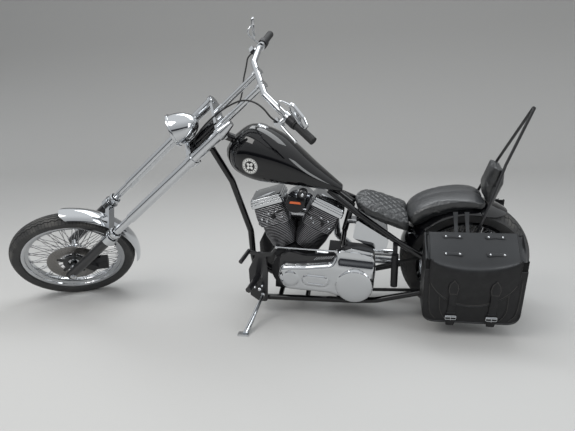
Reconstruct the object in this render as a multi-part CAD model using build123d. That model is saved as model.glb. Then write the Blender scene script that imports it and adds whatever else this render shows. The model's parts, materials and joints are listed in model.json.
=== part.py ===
from build123d import *
from math import acos, asin, atan2, cos, degrees, radians, sin, sqrt
import os

# Chopper motorcycle parked on its side stand, in millimetres.
# It is drawn upright with the rear axle over x = 0, x rearward, y to its right
# and z up, then leaned, pitched and set down on the ground.

# Stance, in degrees
STEER = 31.5
RAKE = 49.8
LEAN = 13.0
LID_SWING = 110.0

# Clearances: a shaft in its bore, a seat on a curved face, a running gap
FIT = 0.1
SEAT = 0.3
RUNNING = 6

# Wheels
FRONT_BEAD = 269
FRONT_TYRE_TALL = 76
FRONT_HALF = 45
FRONT_CROWN = 56
FRONT_RIM_HALF = 31
FRONT_HUB_HALF = 55
FRONT_FLANGE_Y = 34
REAR_BEAD = 230
REAR_TYRE_TALL = 92
REAR_HALF = 100
REAR_CROWN = 150
REAR_RIM_HALF = 74
REAR_HUB_HALF = 100
REAR_FLANGE_Y = 46
TYRE_WALL = 9
RIM_LIP = 14
RIM_WALL = 4
HUB_R = 34
FLANGE_R = 52
SPOKE_R = 2.2
SPOKES_A_SIDE = 20
SPOKE_LEAN = 24
AXLE_R = 12.5
SPACER_R = 19
AXLE_NUT = 35
DISC_R = 146
DISC_THICK = 5
DISC_BORE_R = 21

# Steering head and fork, along the steering axis from the top tree down
HEAD = (-1225.5, 0, 1070.6)
NECK_R = 30
STEM_R = 14
TREE_GAP = 205
TREE_THICK = 32
TOP_TREE_THICK = 16
TREE_WIDE = 62
LOBE_R = 31
TUBE_Y = 131
TUBE_X = -26
TUBE_R = 20.5
SLEEVE_R = 26
SLEEVE_END = 715
AXLE_DROP = 1270
SLIDER_LONG = 389
SLIDER_R = 27
SLIDER_BOSS = 32
COLLAR_R = 38
COLLAR_TALL = 44

# Handlebar on its risers, in fork coordinates
RISER_X = -8
RISER_Y = 55
RISER_R = 15
RISER_TALL = 285
BAR_R = 15.9
BAR_BEND = (-14, 134)
BAR_KNEE = (22, 255, 30)
BAR_END = (112, 440, 78)
GRIP_R = 18.5
GRIP_LONG = 112
SWITCH_R = 25
SWITCH_LONG = 38
CLAMP_R = 21
LEVER_BOX = (44, 34, 26)
CLAMP_LONG = 26
MIRROR_SIZE = (140, 60, 16)
MIRROR_STALK_R = 5
MIRRORS = {
    # side: middle of the head, along the head, way it faces, bend of the stalk, end of the stalk
    -1: ((20, -360, 392), (0.54, -0.83, -0.05), (0.62, 0.45, 0.65), (-54, -294, 372), (0, -338, 392)),
    1: ((-44, 325, 402), (0.74, 0.32, -0.58), (0.65, -0.16, 0.74), (-62, 305, 340), (-46, 322, 400)),
}

# Headlight
LAMP_R = 76
LAMP_LONG = 128
LAMP_SPOT = (-135, -185)
LAMP_DIP = 15
LENS_THICK = 8

# Fenders
FENDER_SHEET = 3
FRONT_FENDER_GAP = 30
FRONT_FENDER_DROP = 24
FRONT_FENDER_HALF = 52
FRONT_FENDER_FROM = -20
FRONT_FENDER_TO = 83
REAR_FENDER_GAP = 10
REAR_FENDER_DROP = 34
REAR_FENDER_HALF = 118
REAR_FENDER_TIP = 57
REAR_FENDER_NOSE = 163

# Engine, about its crankshaft
CRANK = (-887, 0, 264)
ENGINE_TILT = 5.5
V_HALF = 22.5
CASE_R = 114
CASE_HALF = 98
BARREL_R = 56
BARREL_FIN_R = 88
HEAD_FIN_HALF = 78
DECK_UP = 140
HEAD_UP = 280
ROCKER_UP = 392
ROCKER_TALL = 47
ROCKER_HALF = 89
ROCKER_HALF_WIDE = 80
FIN_THICK = 3
FIN_PITCH = 10
PUSHROD_R = 9
PUSHROD_Y = 70
PUSHROD_X = 21
PORT_R = 24
PORT_X = 58
PORT_UP = 330
PIPE_R = 22
INTAKE_R = 24
INTAKE_UP = 330
CARB_OUT = 104
CLEANER_R = 86
CLEANER_THICK = 58
CAM_COVER_THICK = 34

# Primary drive on the left, clutch centre and planes out from the middle
CLUTCH_X = 329
PRIMARY_IN = 141
PRIMARY_SPLIT = 166
PRIMARY_OUT = 206
CLUTCH_BULGE = 12
PULLEY_Y = 124
BELT_WIDE = 24
BELT_THICK = 4
PULLEY_R = 52
REAR_PULLEY_R = 124
GEARBOX = (240, 160, 190)
GEARBOX_SPOT = (300, 20)

# Frame
BACKBONE_R = 22
DOWNTUBE_R = 17
RAIL_R = 16
CROSS_R = 14
POST_R = 12
RAIL_Y = 125
RAIL_Z = 108
AXLE_PLATE_Y = 155
AXLE_PLATE_THICK = 12

# Seat, tank and sissy bar
SEAT_HALF = 134
PILLION_HALF = 105
PILLION_THICK = 48
BACKREST_HALF = 64
SISSY_R = 7
CAP_R = 32
CAP_TALL = 14
CAP_SPOT = (-1012, 1022)

# Saddlebags
BAG_FRONT = -228
BAG_BACK = 222
BAG_IN = 195
BAG_OUT = 329
BAG_HINGE_Z = 572
BAG_CREASE_Z = 450
BAG_BOTTOM_Z = 150
BAG_CORNER_R = 62
BAG_WALL = 4
LID_FRONT = -205
LID_BACK = 190
LID_EDGE_Z = 395
LID_MIDDLE_Z = 252
LID_WALL = 4
LID_TALL = 5
LID_GAP = 2

# Stand
STAND_PIVOT = (-1045, -166, 150)
STAND_FOOT = (-1090, -431)
STAND_TOP_R = 8
STAND_END_R = 16
STAND_PIN_R = 6
STAND_PIN_LONG = 36
FOOT_PLATE = (54, 36, 10)

FRONT_R = FRONT_BEAD + FRONT_TYRE_TALL
REAR_R = REAR_BEAD + REAR_TYRE_TALL
SLIDER_TOP = AXLE_DROP - SLIDER_LONG
BAR_Z = RISER_TALL + TOP_TREE_THICK / 2

os.makedirs("parts", exist_ok=True)

BLACK_PAINT = Color(0.02, 0.02, 0.025)
CHROME = Color(0.8, 0.82, 0.85)
ALLOY = Color(0.6, 0.61, 0.63)
DARK_METAL = Color(0.1, 0.1, 0.11)
RUBBER = Color(0.03, 0.03, 0.03)
LEATHER = Color(0.06, 0.06, 0.065)
GLASS = Color(0.8, 0.85, 0.9)
RED_GLASS = Color(0.5, 0.02, 0.02)

SIDES = (("left", -1), ("right", 1))


def rod(start, end, radius, end_radius=None):
    """A round bar, tapered where the end has its own radius."""
    start, end = Vector(*start), Vector(*end)
    along = end - start
    if end_radius is None:
        bar = Cylinder(radius, along.length)
    else:
        bar = Cone(radius, end_radius, along.length)
    return Plane(origin=start, z_dir=along) * Pos(0, 0, along.length / 2) * bar


def tube(points, radius, bend):
    path = FilletPolyline(*points, radius=bend) if len(points) > 2 else Line(*points)
    return sweep(Plane(origin=path @ 0, z_dir=path % 0) * Circle(radius), path=path, transition=Transition.ROUND)


def turned(*points):
    """A ring about the y axis from (radius, y) corners."""
    return revolve(make_face(Polyline(*points, close=True)), Axis.Y)


def plate_across(face_edges, y_from, y_to):
    """A plate across the motorcycle from its closed outline in x and z."""
    face = make_face(face_edges)
    return Pos(0, max(y_from, y_to), 0) * extrude(face, abs(y_to - y_from), dir=(0, -1, 0))


def slab(points, y_from, y_to):
    return plate_across(Polyline(*[(x, 0, z) for x, z in points], close=True), y_from, y_to)


def rounded_slab(rows, y_from, y_to):
    """A plate from rows of x, z and corner radius."""
    edges = FilletPolyline(*[(x, 0, z) for x, z, r in rows], radius=[r for x, z, r in rows], close=True)
    return plate_across(edges, y_from, y_to)


def across(points, x_from, x_to):
    """A block along the motorcycle from its (y, z) outline."""
    face = make_face(Polyline(*[(x_from, y, z) for y, z in points], close=True))
    return extrude(face, x_to - x_from, dir=(1, 0, 0))


def fused(pieces):
    whole = pieces[0]
    for piece in pieces[1:]:
        whole = whole + piece
    return whole


def mirrored(shape):
    return mirror(shape, Plane.XZ)


def along_y(x, y_from, y_to, z, radius):
    return rod((x, y_from, z), (x, y_to, z), radius)


def fork_point(x, y, z):
    """Fork coordinates, wheel straight ahead, to motorcycle coordinates."""
    rake = radians(RAKE)
    return (HEAD[0] + x * cos(rake) + z * sin(rake), y, HEAD[2] - x * sin(rake) + z * cos(rake))


def engine_point(x, y, z):
    tilt = radians(ENGINE_TILT)
    return (CRANK[0] + x * cos(tilt) + z * sin(tilt), y, CRANK[2] - x * sin(tilt) + z * cos(tilt))


def cylinder_point(side, x, y, z):
    """Coordinates about one cylinder's own axis to engine coordinates."""
    turn = radians(side * V_HALF)
    return (x * cos(turn) + z * sin(turn), y, -x * sin(turn) + z * cos(turn))


engine_place = Pos(*CRANK) * Rot(Y=ENGINE_TILT)
fork_place = Pos(*HEAD) * Rot(Y=RAKE) * Rot(Z=STEER)
front_axle = Pos(TUBE_X, 0, -AXLE_DROP) * Rot(Y=-RAKE)
rear_axle = Pos(0, 0, REAR_R)
in_front_wheel = fork_place * front_axle

# The pitch at which both tyres touch the ground, found by halving.


def low_point(centre, axis, outer, crown):
    return centre.Z - (outer - crown) * sqrt(max(0, 1 - axis.Z ** 2)) - crown


def stance(pitch):
    placing = Rot(X=LEAN) * Rot(Y=pitch)
    front = placing * in_front_wheel
    rear = placing * rear_axle
    front_low = low_point(front.position, Plane(front).y_dir, FRONT_R, FRONT_CROWN)
    rear_low = low_point(rear.position, Plane(rear).y_dir, REAR_R, REAR_CROWN)
    return front_low, rear_low


pitch_low, pitch_high = -9.0, 11.0
for step in range(40):
    PITCH = (pitch_low + pitch_high) / 2
    front_low, rear_low = stance(PITCH)
    if front_low > rear_low:
        pitch_high = PITCH
    else:
        pitch_low = PITCH
bike_place = Pos(0, 0, -rear_low) * Rot(X=LEAN) * Rot(Y=PITCH)

nodes = {}


def add(name, shape, color, place=None):
    nodes[name] = (place * shape if place else shape, color)


# Wheels, each drawn about its own axle on the y axis


def tyre_ring(outer, half, crown, bead, rim_half):
    """Tread in flats along the crown's arc, so that the tyre has few faces."""
    foot_y = rim_half - 5 - SEAT
    foot_r = bead + SEAT
    shoulder = asin(half * 0.88 / crown)
    outside = [(foot_r, -foot_y), (bead + RIM_LIP, -foot_y - 1), ((outer + bead) / 2 + 6, -half)]
    for step in range(5):
        turn = shoulder * (step / 2 - 1)
        outside.append((outer - crown + crown * cos(turn), crown * sin(turn)))
    outside += [((outer + bead) / 2 + 6, half), (bead + RIM_LIP, foot_y + 1), (foot_r, foot_y)]
    belly_r = outer - crown + crown * cos(shoulder) - TYRE_WALL
    inside = [(foot_r, foot_y - TYRE_WALL), ((outer + bead) / 2, half - TYRE_WALL), (belly_r, half * 0.6),
              (belly_r, -half * 0.6), ((outer + bead) / 2, TYRE_WALL - half), (foot_r, TYRE_WALL - foot_y)]
    return turned(*outside, *inside)


def rim_ring(bead, rim_half):
    well = bead - 22
    lip = bead + RIM_LIP
    right = [(bead - RIM_WALL, rim_half), (lip, rim_half), (lip, rim_half - RIM_WALL), (bead, rim_half - 5),
             (bead, rim_half * 0.62), (well, rim_half * 0.45)]
    under = [(well - RIM_WALL, rim_half * 0.5), (bead - RIM_WALL, rim_half * 0.66)]
    left = [(r, -y) for r, y in reversed(right)]
    return turned(*right, *left, *[(r, -y) for r, y in reversed(under)], *under)


def wire_wheel(bead, rim_half, hub_half, flange_y):
    """Rim and hub, joined by crossed spokes from a flange on each side."""
    hub = turned((AXLE_R + FIT, -hub_half), (HUB_R + 4, -hub_half), (HUB_R + 4, -flange_y - 4),
                 (FLANGE_R, -flange_y - 4), (FLANGE_R, 4 - flange_y), (HUB_R - 4, 14 - flange_y),
                 (HUB_R - 4, flange_y - 14), (FLANGE_R, flange_y - 4), (FLANGE_R, flange_y + 4),
                 (HUB_R + 4, flange_y + 4), (HUB_R + 4, hub_half), (AXLE_R + FIT, hub_half))
    spokes = []
    for side in (-1, 1):
        for index in range(SPOKES_A_SIDE):
            start = radians(360 * index / SPOKES_A_SIDE + (side > 0) * 180 / SPOKES_A_SIDE)
            end = start + radians(SPOKE_LEAN if index % 2 else -SPOKE_LEAN)
            start_r, end_r = FLANGE_R - 6, bead - 23
            spokes.append(rod((start_r * cos(start), side * flange_y, start_r * sin(start)),
                              (end_r * cos(end), side * 4, end_r * sin(end)), SPOKE_R))
    return hub.fuse(rim_ring(bead, rim_half), *spokes)


front_disc_in = -FRONT_HUB_HALF
front_disc_out = front_disc_in - DISC_THICK
rear_disc_out = REAR_HUB_HALF + DISC_THICK
belt_half = BELT_WIDE / 2 + 2

add("front_tyre", tyre_ring(FRONT_R, FRONT_HALF, FRONT_CROWN, FRONT_BEAD, FRONT_RIM_HALF), RUBBER, in_front_wheel)
add("front_wheel", wire_wheel(FRONT_BEAD, FRONT_RIM_HALF, FRONT_HUB_HALF, FRONT_FLANGE_Y), CHROME, in_front_wheel)
add("front_brake_disc", turned((DISC_BORE_R, front_disc_out), (DISC_R, front_disc_out), (DISC_R, front_disc_in),
                               (DISC_BORE_R, front_disc_in)), ALLOY, in_front_wheel)
add("rear_tyre", tyre_ring(REAR_R, REAR_HALF, REAR_CROWN, REAR_BEAD, REAR_RIM_HALF), RUBBER, rear_axle)
add("rear_wheel", wire_wheel(REAR_BEAD, REAR_RIM_HALF, REAR_HUB_HALF, REAR_FLANGE_Y), CHROME, rear_axle)
add("rear_brake_disc", turned((DISC_BORE_R, REAR_HUB_HALF), (DISC_R, REAR_HUB_HALF), (DISC_R, rear_disc_out),
                              (DISC_BORE_R, rear_disc_out)), ALLOY, rear_axle)
pulley_out = -PULLEY_Y - belt_half
add("rear_pulley", turned((DISC_BORE_R, pulley_out), (REAR_PULLEY_R, pulley_out),
                          (REAR_PULLEY_R, belt_half - PULLEY_Y), (REAR_PULLEY_R - 14, belt_half - PULLEY_Y),
                          (REAR_PULLEY_R - 14, pulley_out + 18), (HUB_R + 4, pulley_out + 18),
                          (HUB_R + 4, -REAR_HUB_HALF), (DISC_BORE_R, -REAR_HUB_HALF)), ALLOY, rear_axle)

# Fork, drawn about the steering axis

sliders, fork_tubes = [], []
for name, side in SIDES:
    y = side * TUBE_Y
    slider = rod((TUBE_X, y, -AXLE_DROP - SLIDER_BOSS), (TUBE_X, y, -SLIDER_TOP), SLIDER_R)
    slider -= Pos(TUBE_X, y, -AXLE_DROP) * Rot(X=90) * Cylinder(AXLE_R + FIT, 4 * SLIDER_R)
    slider -= rod((TUBE_X, y, -SLIDER_TOP - SLIDER_LONG / 2), (TUBE_X, y, -SLIDER_TOP + 5), TUBE_R + FIT)
    sliders.append(slider)
    dust_cup = rod((TUBE_X, y, -SLIDER_TOP), (TUBE_X, y, -SLIDER_TOP + 22), SLIDER_R + 3)
    inner_tube = rod((TUBE_X, y, -SLIDER_TOP - SLIDER_LONG / 2), (TUBE_X, y, TOP_TREE_THICK / 2 + 4), TUBE_R)
    lower_sleeve = rod((TUBE_X, y, -SLEEVE_END), (TUBE_X, y, -TREE_GAP - TREE_THICK / 2), SLEEVE_R)
    upper_sleeve = rod((TUBE_X, y, TREE_THICK / 2 - TREE_GAP), (TUBE_X, y, -TOP_TREE_THICK / 2), SLEEVE_R)
    fork_tubes += [inner_tube, lower_sleeve, upper_sleeve, dust_cup]
add("fork_sliders", fused(sliders), DARK_METAL, fork_place)
add("fork_tubes", fused(fork_tubes), CHROME, fork_place)


def tree(z, thick, wide):
    plate = fused([Pos(TUBE_X / 2, 0, z) * Box(wide, 2 * TUBE_Y, thick), Pos(0, 0, z) * Cylinder(36, thick)]
                  + [Pos(TUBE_X, side * TUBE_Y, z) * Cylinder(LOBE_R, thick) for name, side in SIDES])
    for name, side in SIDES:
        plate -= Pos(TUBE_X, side * TUBE_Y, z) * Cylinder(TUBE_R + FIT, 2 * thick)
    return plate


top_tree = tree(0, TOP_TREE_THICK, TREE_WIDE) - Cylinder(STEM_R + FIT, 4 * TOP_TREE_THICK)
gauge_pod = rod((TUBE_X, -TUBE_Y, TOP_TREE_THICK / 2 + 5), (TUBE_X, -TUBE_Y, TOP_TREE_THICK / 2 + 74), LOBE_R - 2, 15)
gauge_skirt = rod((TUBE_X, -TUBE_Y, TOP_TREE_THICK / 2), (TUBE_X, -TUBE_Y, TOP_TREE_THICK / 2 + 6), LOBE_R - 1)
gauge_skirt -= Pos(TUBE_X, -TUBE_Y, 0) * Cylinder(TUBE_R + FIT, TOP_TREE_THICK + 10)
add("top_tree", top_tree + (gauge_pod + gauge_skirt), CHROME, fork_place)

lamp_turn = radians(RAKE + LAMP_DIP)
shell_axis = Vector(-cos(lamp_turn), 0, -sin(lamp_turn))
lamp_plane = Plane(origin=(LAMP_SPOT[0], 0, LAMP_SPOT[1]), z_dir=shell_axis)


def bullet(radius, long):
    """A bullet shell about the y axis, its mouth at y = 0 and its small flat tip at -long."""
    tip = 6
    face = make_face(Curve() + [Line((0, 0), (radius, 0)),
                                ThreePointArc((radius, 0), (radius * 0.76, -long * 0.62), (tip, -long)),
                                Line((tip, -long), (0, -long)), Line((0, -long), (0, 0))])
    return revolve(face, Axis.Y)


rim = turned((LAMP_R - 6, 0), (LAMP_R + 3, 0), (LAMP_R + 3, 12), (LAMP_R - 6, 12))
lens = turned((0, 0), (LAMP_R - 6 - FIT, 0), (LAMP_R - 6 - FIT, LENS_THICK), (0, LENS_THICK + 6))
headlight = lamp_plane * (Rot(X=90) * (bullet(LAMP_R, LAMP_LONG) + rim))
add("headlight", headlight, CHROME, fork_place)
add("headlight_lens", lamp_plane * (Rot(X=90) * lens), GLASS, fork_place)

stem = rod((0, 0, -TREE_GAP), (0, 0, TOP_TREE_THICK / 2 + 12), STEM_R)
lamp_hold = lamp_plane * Pos(0, 0, -LAMP_LONG / 2)
lamp_arm = rod((-38, 0, -TREE_GAP), tuple(lamp_hold.position), 13)
lamp_room = lamp_plane * (Rot(X=90) * bullet(LAMP_R + SEAT, LAMP_LONG + SEAT))
lower_tree = tree(-TREE_GAP, TREE_THICK, TREE_WIDE) + stem
add("lower_tree", lower_tree + (lamp_arm - lamp_room), CHROME, fork_place)

axle_reach = TUBE_Y + AXLE_NUT
front_spin = [rod((TUBE_X, -axle_reach, -AXLE_DROP), (TUBE_X, axle_reach, -AXLE_DROP), AXLE_R)]
spacer_to = TUBE_Y - SLIDER_R - SEAT
front_spin.append(along_y(TUBE_X, -spacer_to, front_disc_out - 0.5, -AXLE_DROP, SPACER_R))
front_spin.append(along_y(TUBE_X, FRONT_HUB_HALF + 0.5, spacer_to, -AXLE_DROP, SPACER_R))
for name, side in SIDES:
    nut_from = TUBE_Y + SLIDER_R + SEAT
    front_spin.append(along_y(TUBE_X, side * nut_from, side * (axle_reach - 4), -AXLE_DROP, SPACER_R - 2))
add("front_axle", fused(front_spin), CHROME, fork_place)

# Front fender on a collar round each slider top

fender_r = FRONT_R + FRONT_FENDER_GAP + FENDER_SHEET


def fender_ring(crown_r, edge_drop, half, angle_from, angle_to):
    """An arched sheet about the y axis, from one angle to another over the wheel."""
    inner_r, inner_half = crown_r - FENDER_SHEET, half - FENDER_SHEET
    edge_r = crown_r - edge_drop
    section = make_face(Curve() + [ThreePointArc((edge_r, -half), (crown_r, 0), (edge_r, half)),
                                   Line((edge_r, half), (edge_r, inner_half)),
                                   ThreePointArc((edge_r, inner_half), (inner_r, 0), (edge_r, -inner_half)),
                                   Line((edge_r, -inner_half), (edge_r, -half))])
    return Rot(Y=-angle_from) * revolve(section, Axis.Y, -(angle_to - angle_from))


def round_tip(angle, crown_r, half, toward):
    """What is cut off a fender's square end to leave it round."""
    block = Pos(-toward * half / 2, 0, 0) * Box(half + 2, 2 * half + 4, crown_r / 2)
    return Rot(Y=-angle) * Rot(Y=90) * Pos(toward * half, 0, crown_r) * (block - Cylinder(half + 1, crown_r))


front_fender = fender_ring(fender_r, FRONT_FENDER_DROP, FRONT_FENDER_HALF, FRONT_FENDER_FROM, FRONT_FENDER_TO)
front_fender -= round_tip(FRONT_FENDER_TO, fender_r, FRONT_FENDER_HALF, 1)
collar_z = -SLIDER_TOP - COLLAR_TALL / 2 - 4
braces = []
for name, side in SIDES:
    y = side * TUBE_Y
    bore = Pos(TUBE_X, y, collar_z) * Cylinder(SLIDER_R + SEAT, 2 * COLLAR_TALL)
    braces.append(Pos(TUBE_X, y, collar_z) * Cylinder(COLLAR_R, COLLAR_TALL) - bore)
    reach = TUBE_Y - SLIDER_R - FRONT_FENDER_HALF + 8
    arm_y = side * (FRONT_FENDER_HALF - 3 + reach / 2)
    braces.append(Pos(TUBE_X, arm_y, collar_z) * Box(34, reach, COLLAR_TALL - 8) - bore)
fender_room = turned((0, -FRONT_FENDER_HALF - 1), (fender_r - FRONT_FENDER_DROP, -FRONT_FENDER_HALF - 1),
                     (fender_r - FENDER_SHEET, -14), (fender_r - FENDER_SHEET, 14),
                     (fender_r - FRONT_FENDER_DROP, FRONT_FENDER_HALF + 1), (0, FRONT_FENDER_HALF + 1))
bridge = Pos(TUBE_X, 0, collar_z) * Box(34, 2 * (TUBE_Y - SLIDER_R - 4), COLLAR_TALL - 8)
mounts = front_axle.inverse() * fused(braces + [bridge]) - fender_room
add("front_fender", front_fender + mounts, CHROME, in_front_wheel)

# Front brake: the caliper straddles the disc and bolts to the left slider

slot = Pos(TUBE_X, (front_disc_in + front_disc_out) / 2, -AXLE_DROP) * Rot(X=90)
caliper = Pos(86, -73, -1178) * Rot(Y=-40) * Box(92, 54, 62)
caliper += Pos(30, -110, -1190) * Box(80, 26, 44)
caliper -= slot * Cylinder(DISC_R + RUNNING, DISC_THICK + 2 * RUNNING - 2)
caliper -= rod((TUBE_X, -TUBE_Y, -AXLE_DROP), (TUBE_X, -TUBE_Y, -SLIDER_TOP), SLIDER_R + SEAT)
add("front_caliper", caliper, DARK_METAL, fork_place)

# Handlebar, grips and hand controls, the left ones and their mirror image


def bar_point(side, out):
    """A point of the outer bar, so far out from its knee."""
    knee, end = Vector(*BAR_KNEE), Vector(*BAR_END)
    spot = knee + (end - knee).normalized() * out
    return spot.X, side * spot.Y, BAR_Z + spot.Z


bar_long = (Vector(*BAR_END) - Vector(*BAR_KNEE)).length
handlebar = [along_y(BAR_BEND[0], -RISER_Y, RISER_Y, BAR_Z, BAR_R)]
for name, side in SIDES:
    bar_way = [(BAR_BEND[0], side * RISER_Y, BAR_Z), (BAR_BEND[0], side * BAR_BEND[1], BAR_Z),
               bar_point(side, 0), bar_point(side, bar_long)]
    handlebar.append(tube(bar_way, BAR_R, 38))
    handlebar.append(rod((RISER_X, side * RISER_Y, TOP_TREE_THICK / 2), (RISER_X, side * RISER_Y, BAR_Z), RISER_R))
    handlebar.append(rod((RISER_X, side * RISER_Y, BAR_Z - 24), (RISER_X, side * RISER_Y, BAR_Z + 16), RISER_R + 6))
add("handlebar", fused(handlebar), CHROME, fork_place)

grip_from = bar_long - GRIP_LONG
switch_from = grip_from - SWITCH_LONG - 1
clamp_from = switch_from - CLAMP_LONG - 1
grips, switches, levers, mirrors = [], [], [], []
for name, side in SIDES:
    bar_room = rod(bar_point(side, 0), bar_point(side, bar_long), BAR_R + FIT)
    grip = rod(bar_point(side, grip_from), bar_point(side, bar_long + 6), GRIP_R)
    grip += rod(bar_point(side, grip_from), bar_point(side, grip_from + 8), GRIP_R + 5)
    grips.append(grip - bar_room)
    switch = rod(bar_point(side, switch_from), bar_point(side, switch_from + SWITCH_LONG), SWITCH_R)
    switches.append(switch - bar_room)
    clamp = rod(bar_point(side, clamp_from), bar_point(side, clamp_from + CLAMP_LONG), CLAMP_R)
    hold = Vector(*bar_point(side, clamp_from + CLAMP_LONG / 2))
    pivot = hold + Vector(-6, side * 4, -46)
    lever_spot = tuple(pivot)
    cup = [rod(tuple(hold), tuple(pivot), 12), Pos(*pivot) * Box(*LEVER_BOX)]
    blade_way = (Vector(*bar_point(side, bar_long)) - hold).normalized()
    blade_end = pivot + blade_way * 120 + Vector(0, 0, -8)
    blade = rod(tuple(pivot), tuple(blade_end), 7, 6) + Pos(*blade_end) * Sphere(8)
    levers.append(fused([clamp] + cup + [blade]) - bar_room)
    middle, along, facing, stalk_bend, stalk_tip = MIRRORS[side]
    head = fillet(Box(*MIRROR_SIZE).edges().filter_by(Axis.Z), MIRROR_SIZE[1] / 2 - 4)
    head = Plane(origin=middle, x_dir=along, z_dir=facing) * head
    stalk_foot = hold + Vector(-CLAMP_R - 3, 0, 4)
    stalk = tube([tuple(stalk_foot), stalk_bend, stalk_tip], MIRROR_STALK_R, 12)
    stalk_end = Pos(*stalk_foot) * Sphere(7) - rod(bar_point(side, 0), bar_point(side, bar_long), CLAMP_R + SEAT)
    stalk = stalk - rod(bar_point(side, 0), bar_point(side, bar_long), CLAMP_R + SEAT)
    mirrors.append(fused([head, stalk, stalk_end]))
add("grips", fused(grips), RUBBER, fork_place)
add("switch_housings", fused(switches), DARK_METAL, fork_place)
add("hand_levers", fused(levers), CHROME, fork_place)
add("mirrors", fused(mirrors), CHROME, fork_place)

# Frame


def upper_rail(side, radius):
    return tube([(-690, side * 18, 704), (-540, side * 85, 605), (-340, side * RAIL_Y, 470),
                 (-200, side * AXLE_PLATE_Y, 395), (-50, side * AXLE_PLATE_Y, REAR_R + 30)], radius, 60)


def lower_rail(side, radius):
    return tube([(-1105, side * 20, 150), (-1105, side * RAIL_Y, 150), (-1040, side * RAIL_Y, RAIL_Z),
                 (-540, side * RAIL_Y, RAIL_Z), (-440, side * AXLE_PLATE_Y, RAIL_Z + 30),
                 (-200, side * AXLE_PLATE_Y, RAIL_Z + 94), (-50, side * AXLE_PLATE_Y, REAR_R - 28)], radius, 30)


def backbone(radius):
    return tube([fork_point(NECK_R - 1, 0, -60), (-1000, 0, 905), (-680, 0, 715), (-570, 0, 625)], radius, 120)


def seat_post(radius):
    return rod((-572, 0, 625), (-612, 0, 470), radius)


neck = rod(fork_point(0, 0, TREE_THICK / 2 - TREE_GAP + 2), fork_point(0, 0, -TOP_TREE_THICK / 2 - 2), NECK_R)
neck -= rod(fork_point(0, 0, -TREE_GAP), fork_point(0, 0, 0), STEM_R + FIT)
downtube = tube([fork_point(NECK_R - 1, 0, -130), (-1197, 0, 743), (-1122, 0, 450), (-1122, 0, 298),
                 (-1105, 0, 150)], DOWNTUBE_R, 60)
tubes = [backbone(BACKBONE_R), downtube, seat_post(RAIL_R)]
for name, side in SIDES:
    tubes += [lower_rail(side, RAIL_R), upper_rail(side, RAIL_R)]
    tubes.append(tube([(-609, 0, 480), (-622, side * 95, 400), (-642, side * 95, RAIL_Z)], POST_R, 40))
CROSS_X = (-960, -810, -640)
tubes.append(rod((-1105, -RAIL_Y, 150), (-1105, RAIL_Y, 150), RAIL_R))
for x in CROSS_X:
    tubes.append(rod((x, -RAIL_Y, RAIL_Z), (x, RAIL_Y, RAIL_Z), CROSS_R))
plate_in = AXLE_PLATE_Y - AXLE_PLATE_THICK / 2
plate_out = AXLE_PLATE_Y + AXLE_PLATE_THICK / 2
plate_rows = ((-66, REAR_R - 46, 8), (30, REAR_R - 36, 20), (50, REAR_R, 14), (30, REAR_R + 40, 20),
              (-66, REAR_R + 52, 8))
for name, side in SIDES:
    tubes.append(rounded_slab(plate_rows, side * plate_in, side * plate_out))
frame = neck.fuse(*tubes) - along_y(0, -2 * AXLE_PLATE_Y, 2 * AXLE_PLATE_Y, REAR_R, AXLE_R + FIT)
add("frame", frame, BLACK_PAINT)

rear_reach = AXLE_PLATE_Y + AXLE_NUT
rear_spin = [along_y(0, -rear_reach, rear_reach, REAR_R, AXLE_R)]
rear_spin.append(along_y(0, SEAT - plate_in, pulley_out - 0.5, REAR_R, SPACER_R))
rear_spin.append(along_y(0, rear_disc_out + 0.5, plate_in - SEAT, REAR_R, SPACER_R))
STRUT_THICK = 6
strut_out = plate_out + STRUT_THICK
for name, side in SIDES:
    rear_spin.append(along_y(0, side * (strut_out + SEAT), side * (rear_reach - 4), REAR_R, SPACER_R))
add("rear_axle", fused(rear_spin), CHROME)

caliper = rounded_slab([(-172, REAR_R - 34, 12), (-84, REAR_R - 34, 12), (-84, REAR_R + 34, 12),
                        (-172, REAR_R + 34, 12)], REAR_HUB_HALF - 18, rear_disc_out + 20)
caliper -= along_y(0, REAR_HUB_HALF - RUNNING, rear_disc_out + RUNNING, REAR_R, DISC_R + RUNNING)
rail_in = AXLE_PLATE_Y - RAIL_R - 2
for x_from, y_from, y_to in ((-130, rear_disc_out + 12, rail_in), (-44, rail_in, plate_in)):
    caliper += slab([(x_from, REAR_R - 16), (-28, REAR_R - 16), (-28, REAR_R + 16), (x_from, REAR_R + 16)],
                    y_from, y_to)
add("rear_caliper", caliper, DARK_METAL)

# Engine, about its crankshaft: cases, cylinders in a V, covers

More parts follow.
